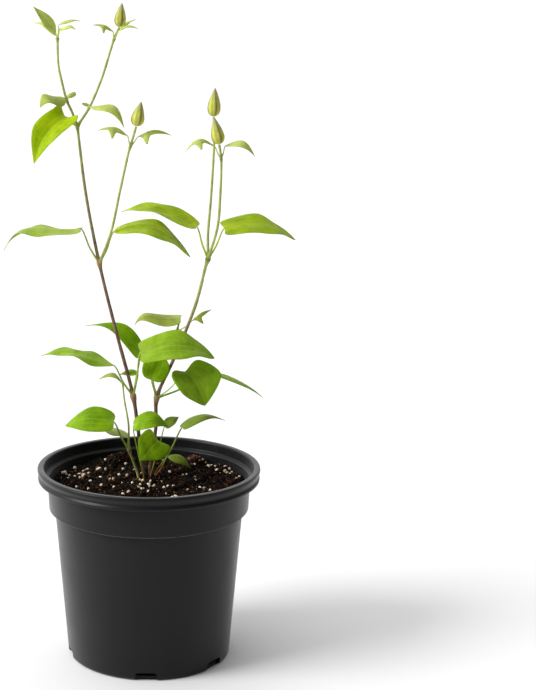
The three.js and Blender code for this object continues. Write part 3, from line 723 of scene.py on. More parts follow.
@dataclass(frozen=True)
class Leaf:
    """One leaf: its stalk from root to base, and its blade from base to tip.

    face is the lean of the upper side from straight up towards the front. roll turns the blade about the
    line from base to tip, twist turns it further towards the tip, and bend bows its midrib sideways.
    fold turns the halves down, arch is the rise of the midrib, crest the share of the length where it is
    highest, and wave the height of the margin's ripples.
    """

    name: str
    root: Point
    base: Point
    tip: Point
    shape: Shape
    tone: Tone
    width: float
    arch: float
    face: float
    fold: float = 0.0
    roll: float = 0.0
    twist: float = 0.0
    bend: float = 0.0
    crest: float = 0.5
    wave: float = 0.0
    rooted: bool = False

    LOBE_REACH = 0.45
    LOBE_SCALE = 6.75
    TOOTH_REACH = 0.08
    CREASE = 0.03
    CAMBER = 0.1
    UNEVEN = 0.012
    UNEVEN_STRETCH = 2.2
    UNEVEN_SIZE = 0.7
    UNEVEN_WAVES = 6
    THICKNESS = 0.42
    MARGIN_THINNING = 0.55
    VEIN_HEIGHT = 0.1
    VEIN_WIDTH = 0.05
    VEIN_DEPTHS = (0.7, 0.45)
    VEINED_WIDTH = 20
    PILLOW_WIDTH = 0.36
    PILLOW_SHARE = 0.5
    LOWER_SHARE = 0.8
    SMALL_LENGTH = 30.0
    GRID = (52, 33)
    SMALL_GRID = (30, 17)
    ROOT_DEPTH = 7.0
    STALK_SIDES = 10
    STALK_STEP = 1.2
    STALK_SAG = 0.06
    STALK_RADII = (0.85, 0.6)
    SMALL_STALK_RADII = (0.55, 0.42)
    STALK_END = 0.12
    STALK_BELOW = 0.35
    FOOT_REACH = 2.5
    FOOT_SWELL = 0.45
    RIB_STOPS = (0.07, 0.2, 0.4, 0.65, 0.88)
    RIB_DROP = 0.25
    RIB_THIN_AT = 0.25
    RIB_THIN = 0.5
    RUST = 0.85
    RUST_TOP = 151.0
    RUST_REACH = 9.0

    @property
    def length(self) -> float:
        """Gives the straight length of the blade."""
        return float(np.linalg.norm(np.subtract(self.tip, self.base)))

    def surface(self, t: np.ndarray, s: np.ndarray) -> tuple[np.ndarray, np.ndarray]:
        """Works out the blade's middle surface.

        Args:
            t: Share of the way from base to tip along the midrib.
            s: Place across, from one margin (-1) over the midrib (0) to the other (1).

        Returns:
            Points and the upward directions there. A point is the base, plus the share of the length, plus
            the half width times s across, plus the arch, ripples and camber along the upward direction.
            Near the base the margins fall back by the lobe's depth.
        """
        outline = self.shape.value
        along = unit(np.subtract(self.tip, self.base))
        lean, fold = math.radians(self.face), math.radians(self.fold)
        up = np.array([0, -math.sin(lean), math.cos(lean)])
        up = unit(up - along * (up @ along))
        side = np.abs(s)
        near = np.minimum(1, t / self.LOBE_REACH)
        share = t - outline.lobe * self.LOBE_SCALE * near * (1 - near) ** 2 * side
        run = np.maximum(0, share)
        toothed = np.clip(4 * s * math.copysign(1, outline.tooth), 0, 1)
        bump = 1 + abs(outline.tooth) * toothed * np.exp(-(((t - outline.tooth_at) / self.TOOTH_REACH) ** 2))
        power, crest_power = (math.log(0.5) / math.log(place) for place in (outline.peak, self.crest))
        swell = np.maximum(0, np.sin(np.pi * t**power)) ** outline.slender * (1 - outline.taper * t**3) * bump
        reach = side * self.width / 2 * swell
        rise = self.arch * (np.sin(np.pi * run**crest_power) + 2 * np.minimum(0, share))
        bow = self.bend * np.sin(np.pi * run)
        ripple = self.wave * side**2 * np.sin(TURN * (2 * t + 0.25 * np.sign(s))) * np.sin(np.pi * t)
        normal = turned(up, along, np.radians(self.roll + self.twist * run))
        across = np.cross(normal, along)
        spots = np.stack([self.UNEVEN_STRETCH * t, s + 0 * t], -1)
        life = soft_noise(spots, self.UNEVEN_SIZE, seeded(self.name), self.UNEVEN_WAVES) * np.sin(np.pi * t)
        crease = (np.sqrt(side**2 + self.CREASE) - math.sqrt(self.CREASE)) * self.width / 2 * swell
        lift = ripple - crease * math.sin(fold) - self.CAMBER * reach * side + self.UNEVEN * self.width * life
        points = np.array(self.base, float) + along * (self.length * share)[..., None]
        points = points + across * (np.sign(s) * reach * math.cos(fold) + bow)[..., None]
        points = points + up * rise[..., None] + normal * lift[..., None]
        return points, normal

    def blade(self) -> Skin:
        """Builds the blade as a closed thin shell.

        Returns:
            The shell. Its two faces are the middle surface moved out by half the thickness, which thins
            towards the margin. The veins are sunk into the upper face and stand out of the lower one.
            Each ring of the shell goes over the upper face and back under the lower one.
        """
        rows, columns = self.SMALL_GRID if self.length < self.SMALL_LENGTH else self.GRID
        t = 0.5 - 0.5 * np.cos(np.pi * (np.arange(1, rows) / rows))
        t, s = np.meshgrid(t, np.linspace(-1, 1, columns), indexing="ij")
        points, _ = self.surface(t, s)
        normal = unit(np.cross(np.gradient(points, axis=0), np.gradient(points, axis=1)))
        side = np.abs(s)
        veins = np.exp(-((side / self.VEIN_WIDTH) ** 2))
        for arc, depth in zip(VEIN_ARCS, self.VEIN_DEPTHS):
            veins = veins + depth * np.exp(-(((side - arc) / self.VEIN_WIDTH) ** 2))
        strength = min(1, self.width / self.VEINED_WIDTH)
        pillow = self.PILLOW_SHARE * np.abs(np.sin(np.pi * side / self.PILLOW_WIDTH)) * strength * (1 - side)
        relief = self.VEIN_HEIGHT * (pillow - veins * strength * (1 - t**4))
        half = 0.5 * self.THICKNESS * (1 - self.MARGIN_THINNING * side**4)
        upper = points + normal * (half + relief)[..., None]
        lower = points - normal * (half - relief * self.LOWER_SHARE)[..., None]
        values = {
            "along": np.concatenate([t, t], axis=1),
            "across": np.concatenate([s, s[:, ::-1]], axis=1),
            "below": np.concatenate([np.ones_like(t), np.zeros_like(t)], axis=1),
        }
        skin = Skin.rings(np.concatenate([lower, upper[:, ::-1]], axis=1), values)
        skin.points[-2:] = self.surface(np.array([0.0, 1.0]), np.zeros(2))[0]
        return skin

    def stalk(self) -> Skin:
        """Builds the stalk, which runs on under the midrib and fades out near the tip.

        Returns:
            A round tube along a smooth curve, with a bell-shaped swelling at its foot. The foot of a
            stalk that rises from the soil turns rusty.
        """
        root, base = np.array(self.root, float), np.array(self.base, float)
        middle = (root + base) / 2 - [0, 0, self.STALK_SAG * np.linalg.norm(base - root)]
        ribs, normal = self.surface(np.array(self.RIB_STOPS), np.zeros(len(self.RIB_STOPS)))
        points = [root, middle, base, *(ribs - normal * self.RIB_DROP)]
        if self.rooted:
            points.insert(0, root - [0, 0, self.ROOT_DEPTH])
        path = smooth_path(points, self.STALK_STEP)
        foot, top = self.SMALL_STALK_RADII if self.length < self.SMALL_LENGTH else self.STALK_RADII
        run = np.linspace(0, 1, len(path))
        total = np.linalg.norm(np.diff(path, axis=0), axis=1).sum()
        joint = 1 - self.length / total
        stops = [0, joint, joint + self.RIB_THIN_AT * (1 - joint), 1]
        radii = np.interp(run, stops, [foot, top, self.RIB_THIN * top, self.STALK_END])
        radii = radii * (1 + self.FOOT_SWELL * np.exp(-((run * total / self.FOOT_REACH) ** 2)))
        rings = tube(path, radii, self.STALK_SIDES)
        fade = np.repeat(np.clip(run - joint, 0, 1)[:, None], self.STALK_SIDES, axis=1)
        rust = np.clip((self.RUST_TOP - rings[..., 2]) / self.RUST_REACH, 0, 1) * self.RUST * self.rooted
        below = np.full_like(fade, self.STALK_BELOW)
        return Skin.rings(rings, {"along": fade, "across": 0 * fade, "below": below, "rust": rust})

    def build(self, finishes: dict[Tone, bpy.types.Material]) -> None:
        """Makes the leaf's object and puts it in the place of its solid."""
        piece = Skin.joined([self.blade(), self.stalk()]).piece(f"{self.name}_blade", finishes[self.tone])
        set_in_frame(piece, self.name)


def set_in_frame(piece: bpy.types.Object, node: str = "") -> None:
    """Hands a piece to the frame.

    Args:
        piece: The finished piece.
        node: The CAD node that it stands for, if it stands for one.
    """
    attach(piece, "root")
    if node:
        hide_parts(node)
    log.info("%s is in the frame, %d faces", piece.name, len(piece.data.polygons))


# ---- Stems ----------------------------------------------------------------------------------------

LEFT_TIP: Point = (-66.5, 12, 467)
LEFT_BUD_NODE: Point = (-25.5, 16, 466.5)
LEFT_PAIR: Point = (-60, 12, 422)
LEFT_SIDE_NODE: Point = (-44, 12, 417)
MIDDLE_BUD_NODE: Point = (-13.5, -2, 390)
RIGHT_BUD_NODE: Point = (53, 4, 380.5)
LEFT_FORK: Point = (-52.5, 9, 404)
LEFT_JOINT: Point = (-37, 8, 302.5)
RIGHT_CROWN: Point = (44.5, 16, 304.5)
LEFT_LOW_JOINT: Point = (-12, 14, 199)
RIGHT_JOINT: Point = (6, 14, 197.5)
SIDE_SHOOT_TIP: Point = (21.5, 27, 247)
BASAL_NODE: Point = (-15, 3, 159.5)
BASAL_TIP: Point = (-19.6, 5, 208.8)


@dataclass(frozen=True)
class Branch:
    """One branch: the points along its middle, its radius and its woodiness at foot and tip."""

    points: tuple[Point, ...]
    radii: tuple[float, float]
    wood: tuple[float, float]
    rooted: bool = False


@dataclass(frozen=True)
class Stem:
    """A stem with its branches, and its knuckles: the middle, radius and blush of each."""

    name: str
    slot: str
    branches: tuple[Branch, ...]
    knuckles: tuple[tuple[Point, float, float], ...]

    ROOT_DEPTH = 13.5
    STEP = 1.0
    SIDES = 18
    RIBS = 6
    RIB_HEIGHT = 0.03
    UNEVEN = 0.03
    UNEVEN_SIZE = 5.0
    RIPENING = 2.5
    SWELL_REACH = 1.5
    SWELL_SHARE = 0.92
    KNUCKLE_SHARE = 0.96
    KNUCKLE_FULL = 2.2
    KNUCKLE_UNEVEN = 0.07
    KNUCKLE_GRID = (12, 16)
    POLE_GAP = 0.08
    GREEN_Z = 420
    WOOD_DEPTH = 150

    def branch_skin(self, branch: Branch) -> Skin:
        """Builds one branch.

        Args:
            branch: The branch.

        Returns:
            A ribbed tube along a smooth curve. Its radius goes evenly from foot to tip and swells by a
            bell curve near each knuckle, where the values joint and blush rise too.
        """
        points = list(branch.points)
        if branch.rooted:
            x, y, z = points[0]
            points.insert(0, (x, y, z - self.ROOT_DEPTH))
        path = smooth_path(points, self.STEP)
        share = np.linspace(0, 1, len(path))
        radii = branch.radii[0] + (branch.radii[1] - branch.radii[0]) * share
        joint, blush = np.zeros(len(path)), np.zeros(len(path))
        for centre, radius, flush in self.knuckles:
            away = np.linalg.norm(path - np.array(centre), axis=1)
            near = np.exp(-((away / (self.SWELL_REACH * radius)) ** 2))
            radii = np.maximum(radii, radii + (self.SWELL_SHARE * radius - radii) * near)
            joint = np.maximum(joint, near * min(1, radius / self.KNUCKLE_FULL))
            blush = np.maximum(blush, near * flush)
        radii = radii * (1 + self.UNEVEN * soft_noise(path, self.UNEVEN_SIZE, seeded(self.name)))
        rings = tube(path, radii, self.SIDES, self.RIBS, self.RIB_HEIGHT)
        wood = branch.wood[0] + (branch.wood[1] - branch.wood[0]) * share**self.RIPENING
        values = {"wood": wood, "joint": joint, "blush": blush}
        return Skin.rings(rings, {name: np.repeat(v[:, None], self.SIDES, 1) for name, v in values.items()})

    def knuckle_skin(self, centre: Point, radius: float, blush: float) -> Skin:
        """Builds a knuckle.

        Args:
            centre: Its middle.
            radius: Its radius.
            blush: How far it turns from green to tan, 0 to 1.

        Returns:
            A ball with a slightly uneven radius: circles whose radius is the sine of the latitude angle.
        """
        rows, sides = self.KNUCKLE_GRID
        rise = np.linspace(self.POLE_GAP, math.pi - self.POLE_GAP, rows)[:, None]
        angle = (np.arange(sides) * TURN / sides)[None, :]
        level = np.sin(rise)
        ball = np.stack([level * np.cos(angle), level * np.sin(angle), -np.cos(rise) + 0 * angle], -1)
        bumps = 1 + self.KNUCKLE_UNEVEN * soft_noise(ball * 2, 1.0, seeded(self.name))
        rings = np.array(centre) + self.KNUCKLE_SHARE * radius * ball * bumps[..., None]
        wood = float(np.clip((self.GREEN_Z - centre[2]) / self.WOOD_DEPTH, 0, 1))
        values = {"wood": wood, "joint": min(1.0, radius / self.KNUCKLE_FULL), "blush": blush}
        return Skin.rings(rings, {name: np.full((rows, sides), float(v)) for name, v in values.items()})

    def build(self, material: bpy.types.Material) -> None:
        """Makes the stem's object and puts it in the place of its solid.

        Args:
            material: Its material.
        """
        skins = [self.branch_skin(branch) for branch in self.branches]
        skins += [self.knuckle_skin(*knuckle) for knuckle in self.knuckles]
        set_in_frame(Skin.joined(skins).piece(f"{self.name}_bark", material), self.name)


# ---- Buds -----------------------------------------------------------------------------------------


@dataclass(frozen=True)
class Bud:
    """A closed flower bud of four pointed sepals."""

    name: str
    base: Point
    tip: Point
    width: float
    turn: float = 0.0

    ROWS = 46
    SIDES = 64
    SEAM_HEIGHT = 0.1
    SEAM_WIDTH = 0.12
    RIB_HEIGHT = 0.07
    RIB_WIDTH = 0.2
    RIDGE_FADE = 0.5
    TWIST = 0.25
    SPAN = (0.04, 0.985)
    PEAK_POWER = 0.62
    FULLNESS = 0.8
    TAPER = 0.25

    def build(self, material: bpy.types.Material) -> None:
        """Makes the bud.

        The radius at a share of the length is the half width times a power of a sine, so that the bud is
        widest near a third of its length and ends in a point. Sharp ribs stand out at the four
        seams and softer ones along the middle of each sepal, both fading towards the tip.

        Args:
            material: Its material.
        """
        base, tip = np.array(self.base, float), np.array(self.tip, float)
        axis = unit(tip - base)
        side = unit(np.cross([0.0, 1, 0], axis))
        share = (0.5 - 0.5 * np.cos(np.pi * np.linspace(*self.SPAN, self.ROWS)))[:, None]
        angle = (np.arange(self.SIDES) * TURN / self.SIDES)[None, :]
        profile = np.sin(np.pi * share**self.PEAK_POWER) ** self.FULLNESS * (1 - self.TAPER * share)
        wound = angle + math.radians(self.turn) + self.TWIST * share
        quarter = TURN / 4
        off_seam = np.abs((wound + quarter / 2) % quarter - quarter / 2)
        off_rib = np.abs(wound % quarter - quarter / 2)
        seam = np.exp(-((off_seam / self.SEAM_WIDTH) ** 2))
        rib = np.exp(-((off_rib / self.RIB_WIDTH) ** 2))
        ridge = 1 + (self.SEAM_HEIGHT * seam + self.RIB_HEIGHT * rib) * (1 - self.RIDGE_FADE * share)
        radius = self.width / 2 * profile * ridge
        out = np.cos(angle)[..., None] * side + np.sin(angle)[..., None] * np.cross(axis, side)
        rings = base + axis * (share * np.linalg.norm(tip - base))[..., None] + radius[..., None] * out
        skin = Skin.rings(rings, {"along": share + 0 * angle, "rib": rib, "seam": seam})
        skin.points[-2:] = base, tip
        set_in_frame(skin.piece(f"{self.name}_sepals", material), self.name)


# ---- Pot ------------------------------------------------------------------------------------------


@dataclass(frozen=True)
class Pot:
    """A round nursery pot, 17 cm across its rolled rim."""

    height: float = 148.5
    rim_radius: float = 85
    rim_depth: float = 9.7
    rim_hollow: float = 2.0
    rim_inner_radius: float = 79.8
    collar_top_radius: float = 77.3
    collar_foot_radius: float = 76.2
    collar_foot_z: float = 116.4
    body_top_radius: float = 71.7
    body_top_z: float = 114.4
    base_radius: float = 62.4
    base_corner: float = 3
    wall: float = 1.3
    floor: float = 2.4
    notch_width: float = 16.5
    notch_height: float = 6.5
    notch_depths: tuple[float, float] = (59.5, 68.4)
    notch_foot: float = -4
    notch_arch: float = 0.22
    notch_points: int = 13
    notch_angles: tuple[float, ...] = (-2, 52, 110, 168, -134, -76)
    sides: int = 256
    corner_points: int = 9
    corner_limit: float = 0.45
    long_stretch: float = 12
    sharp_bend: float = 38
    dust_from: float = 126
    dust_rise: float = 8
    rim_dust_from: float = 145
    rim_dust_rise: float = 5
    rim_dust: float = 0.2

    def profile(self) -> list[tuple[float, float, float]]:
        """Lists the corners of the pot's section.

        Returns:
            Radius, height and rounding of each corner, from the middle of the base up the outside and
            down the inside.
        """
        ledge = self.height - self.rim_depth
        return [
            (self.base_radius, 0, self.base_corner),
            (self.body_top_radius, self.body_top_z, 0.4),
            (self.collar_foot_radius, self.collar_foot_z, 0.5),
            (self.collar_top_radius, ledge, 0.5),
            (self.rim_radius - 0.7, ledge, 0.5),
            (self.rim_radius - 0.5, ledge + 1.5, 0.5),
            (self.rim_radius - self.rim_hollow, ledge + 3.5, 1.3),
            (self.rim_radius, self.height - 2.6, 1.2),
            (self.rim_radius - 0.4, self.height, 1.6),
            (self.rim_inner_radius, self.height, 1.7),
            (self.rim_inner_radius - 0.5, ledge + self.wall + 0.6, 0.8),
            (self.collar_top_radius - self.wall, ledge + self.wall - 0.2, 0.9),
            (self.collar_foot_radius - self.wall, self.collar_foot_z + 0.85, 1.5),
            (self.body_top_radius - self.wall, self.body_top_z + 0.85, 1.5),
            (self.base_radius - self.wall - 1, self.floor, 2),
        ]

    def section(self) -> np.ndarray:
        """Rounds the corners of the profile and adds points along its long straight stretches.

        Returns:
            Points of shape (n, 2), from the base's middle to the floor's middle. Each rounded corner is a
            quadratic curve between the two points that lie its rounding away on either side, or a limited
            share of the stretch where that is short.
        """
        corners = self.profile()
        spots = np.array([(0, 0)] + [c[:2] for c in corners] + [(0, self.floor)], float)
        share = np.linspace(0, 1, self.corner_points)[:, None]
        parts = [spots[:1] + [[0.5, 0]], spots[:1] + [[0.5 * self.base_radius, 0]]]
        for before, spot, after, corner in zip(spots[:-2], spots[1:-1], spots[2:], corners):
            start, end = (
                spot + unit(other - spot) * min(corner[2], self.corner_limit * np.linalg.norm(other - spot))
                for other in (before, after)
            )
            parts.append((1 - share) ** 2 * start + 2 * share * (1 - share) * spot + share**2 * end)
            count = int(np.linalg.norm(after - end) // self.long_stretch)
            if count > 1:
                parts.append(end + (after - end) * np.linspace(0, 0.9, count + 1)[1:, None])
        return np.vstack([*parts, spots[-1:] + [[0.5, 0]]])

    def notch(self, angle: float) -> Skin:
        """Builds the block that cuts one drain notch.

        Args:
            angle: How far it is turned from the front to the right, in degrees.

        Returns:
            A closed block through the wall, whose top is the notch's height times a flat arch.
        """
        across = np.linspace(-1, 1, self.notch_points)
        x = np.concatenate([across, across[::-1]]) * self.notch_width / 2
        foot = np.full(self.notch_points, self.notch_foot)
        z = np.concatenate([foot, self.notch_height * (1 - self.notch_arch * across**6)])
        rings = np.stack([np.stack([x, 0 * x - depth, z], -1) for depth in self.notch_depths])
        turn = math.radians(angle)
        spin = [[math.cos(turn), -math.sin(turn), 0], [math.sin(turn), math.cos(turn), 0], [0, 0, 1]]
        return Skin.rings(rings @ np.array(spin).T)

    def build(self, material: bpy.types.Material) -> None:
        """Turns the section round the axis, then cuts the drain notches.

        Args:
            material: Its material.
        """
        section = self.section()
        radius, height = section[:, :1], section[:, 1:]
        angle = (np.arange(self.sides) * TURN / self.sides)[None, :]
        rings = np.stack([radius * np.cos(angle), radius * np.sin(angle), height + 0 * angle], -1)
        inside = np.arange(len(section))[:, None] > np.argmax(height)
        dust = inside * np.clip((height - self.dust_from) / self.dust_rise, 0, 1)
        rim = np.clip((height - self.rim_dust_from) / self.rim_dust_rise, 0, 1) * self.rim_dust
        piece = Skin.rings(rings, {"dust": np.maximum(dust, rim) + 0 * angle}).piece("pot_shell", material)
        blocks = [self.notch(a).piece(f"notch_{i}", material) for i, a in enumerate(self.notch_angles)]
        for block in blocks:
            cut = piece.modifiers.new(block.name, "BOOLEAN")
            cut.operation = "DIFFERENCE"
            cut.solver = "EXACT"
            cut.object = block
        settled = bpy.data.meshes.new_from_object(piece.evaluated_get(bpy.context.evaluated_depsgraph_get()))
        piece.modifiers.clear()
        piece.data = settled
        for block in blocks:
            bpy.data.objects.remove(block)
        settled.set_sharp_from_angle(angle=math.radians(self.sharp_bend))
        set_in_frame(piece, "pot")


# ---- Potting mix ----------------------------------------------------------------------------------


@dataclass(frozen=True)
class Scatter:
    """One kind of loose grain: its number, the least and greatest of its three sizes, and its lie."""

    name: str
    count: int
    length: tuple[float, float]
    breadth: tuple[float, float]
    depth: tuple[float, float]
    sink: float
    flat: float = 0.0
    fine: bool = False
    clusters: tuple[tuple[float, float, float], ...] = ()
    clustered: float = 0.0


@dataclass(frozen=True)
class PottingMix:
    """The potting mix: a low mound of peat with crumbs, bark and perlite over its surface."""

    edge_z: float = 132
    mound: float = 4
    mound_radius: float = 76
    mound_power: float = 0.8
    clods: float = 1.1
    crown: tuple[float, float] = (-1, 9)
    heaps: tuple[tuple[float, float, float, float], ...] = ((-23, 51, 12, 9.5), (35, 50, 8.5, 6.5))
    drum: tuple[tuple[float, float], ...] = ((58, 2.7), (69.8, 115.6), (74.0, 119.4))
    wall_radius: float = 75.3
    spread: float = 73.5
    dents: tuple[float, float] = (-0.24, 0.2)
    rows: int = 110
    sides: int = 300

    def height(self, x: np.ndarray, y: np.ndarray) -> np.ndarray:
        """Works out the surface's height.

        Args:
            x: Places to the right.
            y: Places to the back.

        Returns:
            Heights: the edge's height, a cone that rises to the stems, slow waves for clods, and two
            bell-shaped heaps at the back.
        """
        away = np.hypot(x - self.crown[0], y - self.crown[1])
        mound = self.mound * np.maximum(0, 1 - away / self.mound_radius) ** self.mound_power
        clods = np.sin(0.21 * x + 1.3) * np.cos(0.17 * y - 0.6) + 0.6 * np.sin(0.43 * x - 0.31 * y)
        heaps = sum(h * np.exp(-(((x - u) / w) ** 2) - ((y - v) / w) ** 2) for u, v, w, h in self.heaps)
        return self.edge_z + mound + self.clods * clods + heaps

    def crust(self) -> Skin:
        """Builds the body of the mix.

        Returns:
            A closed drum. Its foot and wall follow the pot's inside, and its top is the height plus
            coarse and fine noise.
        """
        foot = np.array(self.drum)
        radii = np.concatenate([foot[:, 0], np.linspace(self.wall_radius, 0.4, self.rows)])
        angle = np.arange(self.sides) * TURN / self.sides
        x, y = radii[:, None] * np.cos(angle), radii[:, None] * np.sin(angle)
        source = seeded("crust")
        spots = np.stack([x, y], -1)
        z = self.height(x, y) + soft_noise(spots, 4.0, source, 30) + 0.5 * soft_noise(spots, 1.3, source, 40)
        z[: len(foot)] = foot[:, 1:]
        values = {"tint": np.clip(0.3 + 0.3 * soft_noise(spots, 4.0, source, 20), 0, 1)}
        return Skin.rings(np.stack([x, y, z], -1), values)

    def grains(self, kind: Scatter) -> Skin:
        """Scatters one kind of grain.

        Args:
            kind: The grain.

        Returns:
            One surface of many small lumps. Each is a ball of flat faces, stretched to its own length,
            breadth and depth, dented by noise, turned at random and set on the mix's surface.
        """
        source = seeded(kind.name)
        ball, faces = lump(kind.fine)
        count = kind.count
        turn = source.uniform(0, TURN, count)
        radius = self.spread * np.sqrt(source.uniform(0.002, 1, count))
        place = np.stack([radius * np.cos(turn), radius * np.sin(turn)])
        if kind.clusters:
            middle = np.array(kind.clusters)[source.integers(0, len(kind.clusters), count)].T
            joined = source.uniform(size=count) < kind.clustered
            away = np.stack([source.normal(0, 1, count) for _ in place]) * middle[2]
            place = np.where(joined, middle[:2] + away, place)
        x, y = place * np.minimum(1, self.spread / np.maximum(np.hypot(*place), 1e-6))
        spans = (kind.length, kind.breadth, kind.depth)
        size = np.stack([source.uniform(*span, count) for span in spans], -1) / 2
        dents = 1 + source.uniform(*self.dents, (count, len(ball)))
        local = ball[None] * dents[..., None] * size[:, None]
        local = np.einsum("nij,nvj->nvi", tumbled(source, count, kind.flat), local)
        z = self.height(x, y) + size[:, 2] * (1 - 2 * kind.sink)
        points = local + np.stack([x, y, z], -1)[:, None]
        starts = (np.arange(count) * len(ball))[:, None, None]
        tint = np.repeat(source.uniform(0, 1, count), len(ball))
        return Skin(points.reshape(-1, 3), [(faces[None] + starts).reshape(-1, 3)], {"tint": tint})


def lump(fine: bool) -> tuple[np.ndarray, np.ndarray]:
    """Gives a ball of flat faces.

    Args:
        fine: True for 80 faces, False for 20.

    Returns:
        Its points and its triangles, facing outwards.
    """
    golden = (1 + math.sqrt(5)) / 2
    points = unit(np.array([
        (-1, golden, 0), (1, golden, 0), (-1, -golden, 0), (1, -golden, 0), (0, -1, golden), (0, 1, golden),
        (0, -1, -golden), (0, 1, -golden), (golden, 0, -1), (golden, 0, 1), (-golden, 0, -1), (-golden, 0, 1),
    ]))
    faces = np.array([
        (0, 11, 5), (0, 5, 1), (0, 1, 7), (0, 7, 10), (0, 10, 11), (1, 5, 9), (5, 11, 4), (11, 10, 2),
        (10, 7, 6), (7, 1, 8), (3, 9, 4), (3, 4, 2), (3, 2, 6), (3, 6, 8), (3, 8, 9), (4, 9, 5),
        (2, 4, 11), (6, 2, 10), (8, 6, 7), (9, 8, 1),
    ])
    if not fine:
        return points, faces
    pairs = np.sort(np.stack([faces, np.roll(faces, -1, axis=1)], -1).reshape(-1, 2), axis=1)
    edges, place = np.unique(pairs, axis=0, return_inverse=True)
    a, b, c = faces.T
    ab, bc, ca = (place.reshape(-1, 3) + len(points)).T
    points = np.vstack([points, unit(points[edges].mean(1))])
    return points, np.vstack([np.stack(t, -1) for t in ((a, ab, ca), (b, bc, ab), (c, ca, bc), (ab, bc, ca))])


def tumbled(source: np.random.Generator, count: int, flat: float) -> np.ndarray:
    """Draws random turns.

    Args:
        source: Random source.
        count: How many.
        flat: 0 for any turn, 1 for turns about the upright axis only.

    Returns:
        Turning matrices of shape (count, 3, 3), from quaternions whose tilt is lessened by flat.
    """
    quats = source.normal(size=(count, 4))
    quats[:, 1:3] *= 1 - flat
    w, x, y, z = unit(quats).T
    rows = [
        [1 - 2 * (y * y + z * z), 2 * (x * y - z * w), 2 * (x * z + y * w)],
        [2 * (x * y + z * w), 1 - 2 * (x * x + z * z), 2 * (y * z - x * w)],
        [2 * (x * z - y * w), 2 * (y * z + x * w), 1 - 2 * (x * x + y * y)],
    ]
    return np.moveaxis(np.array(rows), -1, 0)


PEAT = GrainFinish("dark peat", rgb(8, 4, 2), rgb(38, 24, 15))
BARK = GrainFinish("bark chips", rgb(36, 20, 10), rgb(136, 88, 52), 0.0016, (0.63, 0.83))
ROSE = GrainFinish("pinkish crumbs", rgb(50, 28, 22), rgb(150, 104, 88))
PERLITE = GrainFinish("perlite", rgb(190, 168, 138), rgb(255, 244, 226), 0.0009, (0.68, 0.88), (0.0002, 0.8))

BRIGHT_SPOTS = (
    (-44.0, 34.0, 6.0), (-62.0, 20.0, 7.0), (-22.0, 4.0, 8.0), (-4.0, -10.0, 9.0),
    (4.0, -28.0, 10.0), (42.0, -6.0, 11.0), (48.0, 42.0, 9.0), (62.0, 32.0, 8.0),
)
ROSY_SPOT = ((35.0, 50.0, 3.4),)
GRAINS = (
    (PEAT, Scatter("peat_crumbs", 4600, (1.0, 3.6), (0.8, 2.6), (0.6, 2.2), 0.25)),
    (BARK, Scatter("bark_chips", 520, (2.0, 6.5), (1.0, 2.8), (0.5, 1.3), 0.1, 0.6)),
    (BARK, Scatter("peat_fibres", 420, (4.0, 10.0), (0.3, 0.7), (0.3, 0.6), 0.0, 0.82)),
    (ROSE, Scatter("rosy_crumbs", 34, (2.2, 4.4), (1.8, 3.4), (1.6, 2.8), 0.1,
                   fine=True, clusters=ROSY_SPOT, clustered=1.0)),
    (PERLITE, Scatter("perlite_grains", 112, (2.0, 3.5), (1.8, 3.0), (1.6, 2.7), 0.1,
                      fine=True, clusters=BRIGHT_SPOTS, clustered=0.6)),
    (PERLITE, Scatter("perlite_crumbs", 260, (0.5, 1.4), (0.5, 1.1), (0.4, 1.0), 0.2,
                      clusters=BRIGHT_SPOTS, clustered=0.5)),
)


def build_mix(effects: Effects) -> None:
    """Builds the potting mix: its body and its scattered grains.

    Args:
        effects: The shared node groups.
    """
    mix = PottingMix()
    materials = {finish: finish.material(effects) for finish in (PEAT, BARK, ROSE, PERLITE)}
    set_in_frame(mix.crust().piece("peat_body", materials[PEAT]), "soil")
    for finish, kind in GRAINS:
        set_in_frame(mix.grains(kind).piece(kind.name, materials[finish]))


# ---- The plant ------------------------------------------------------------------------------------

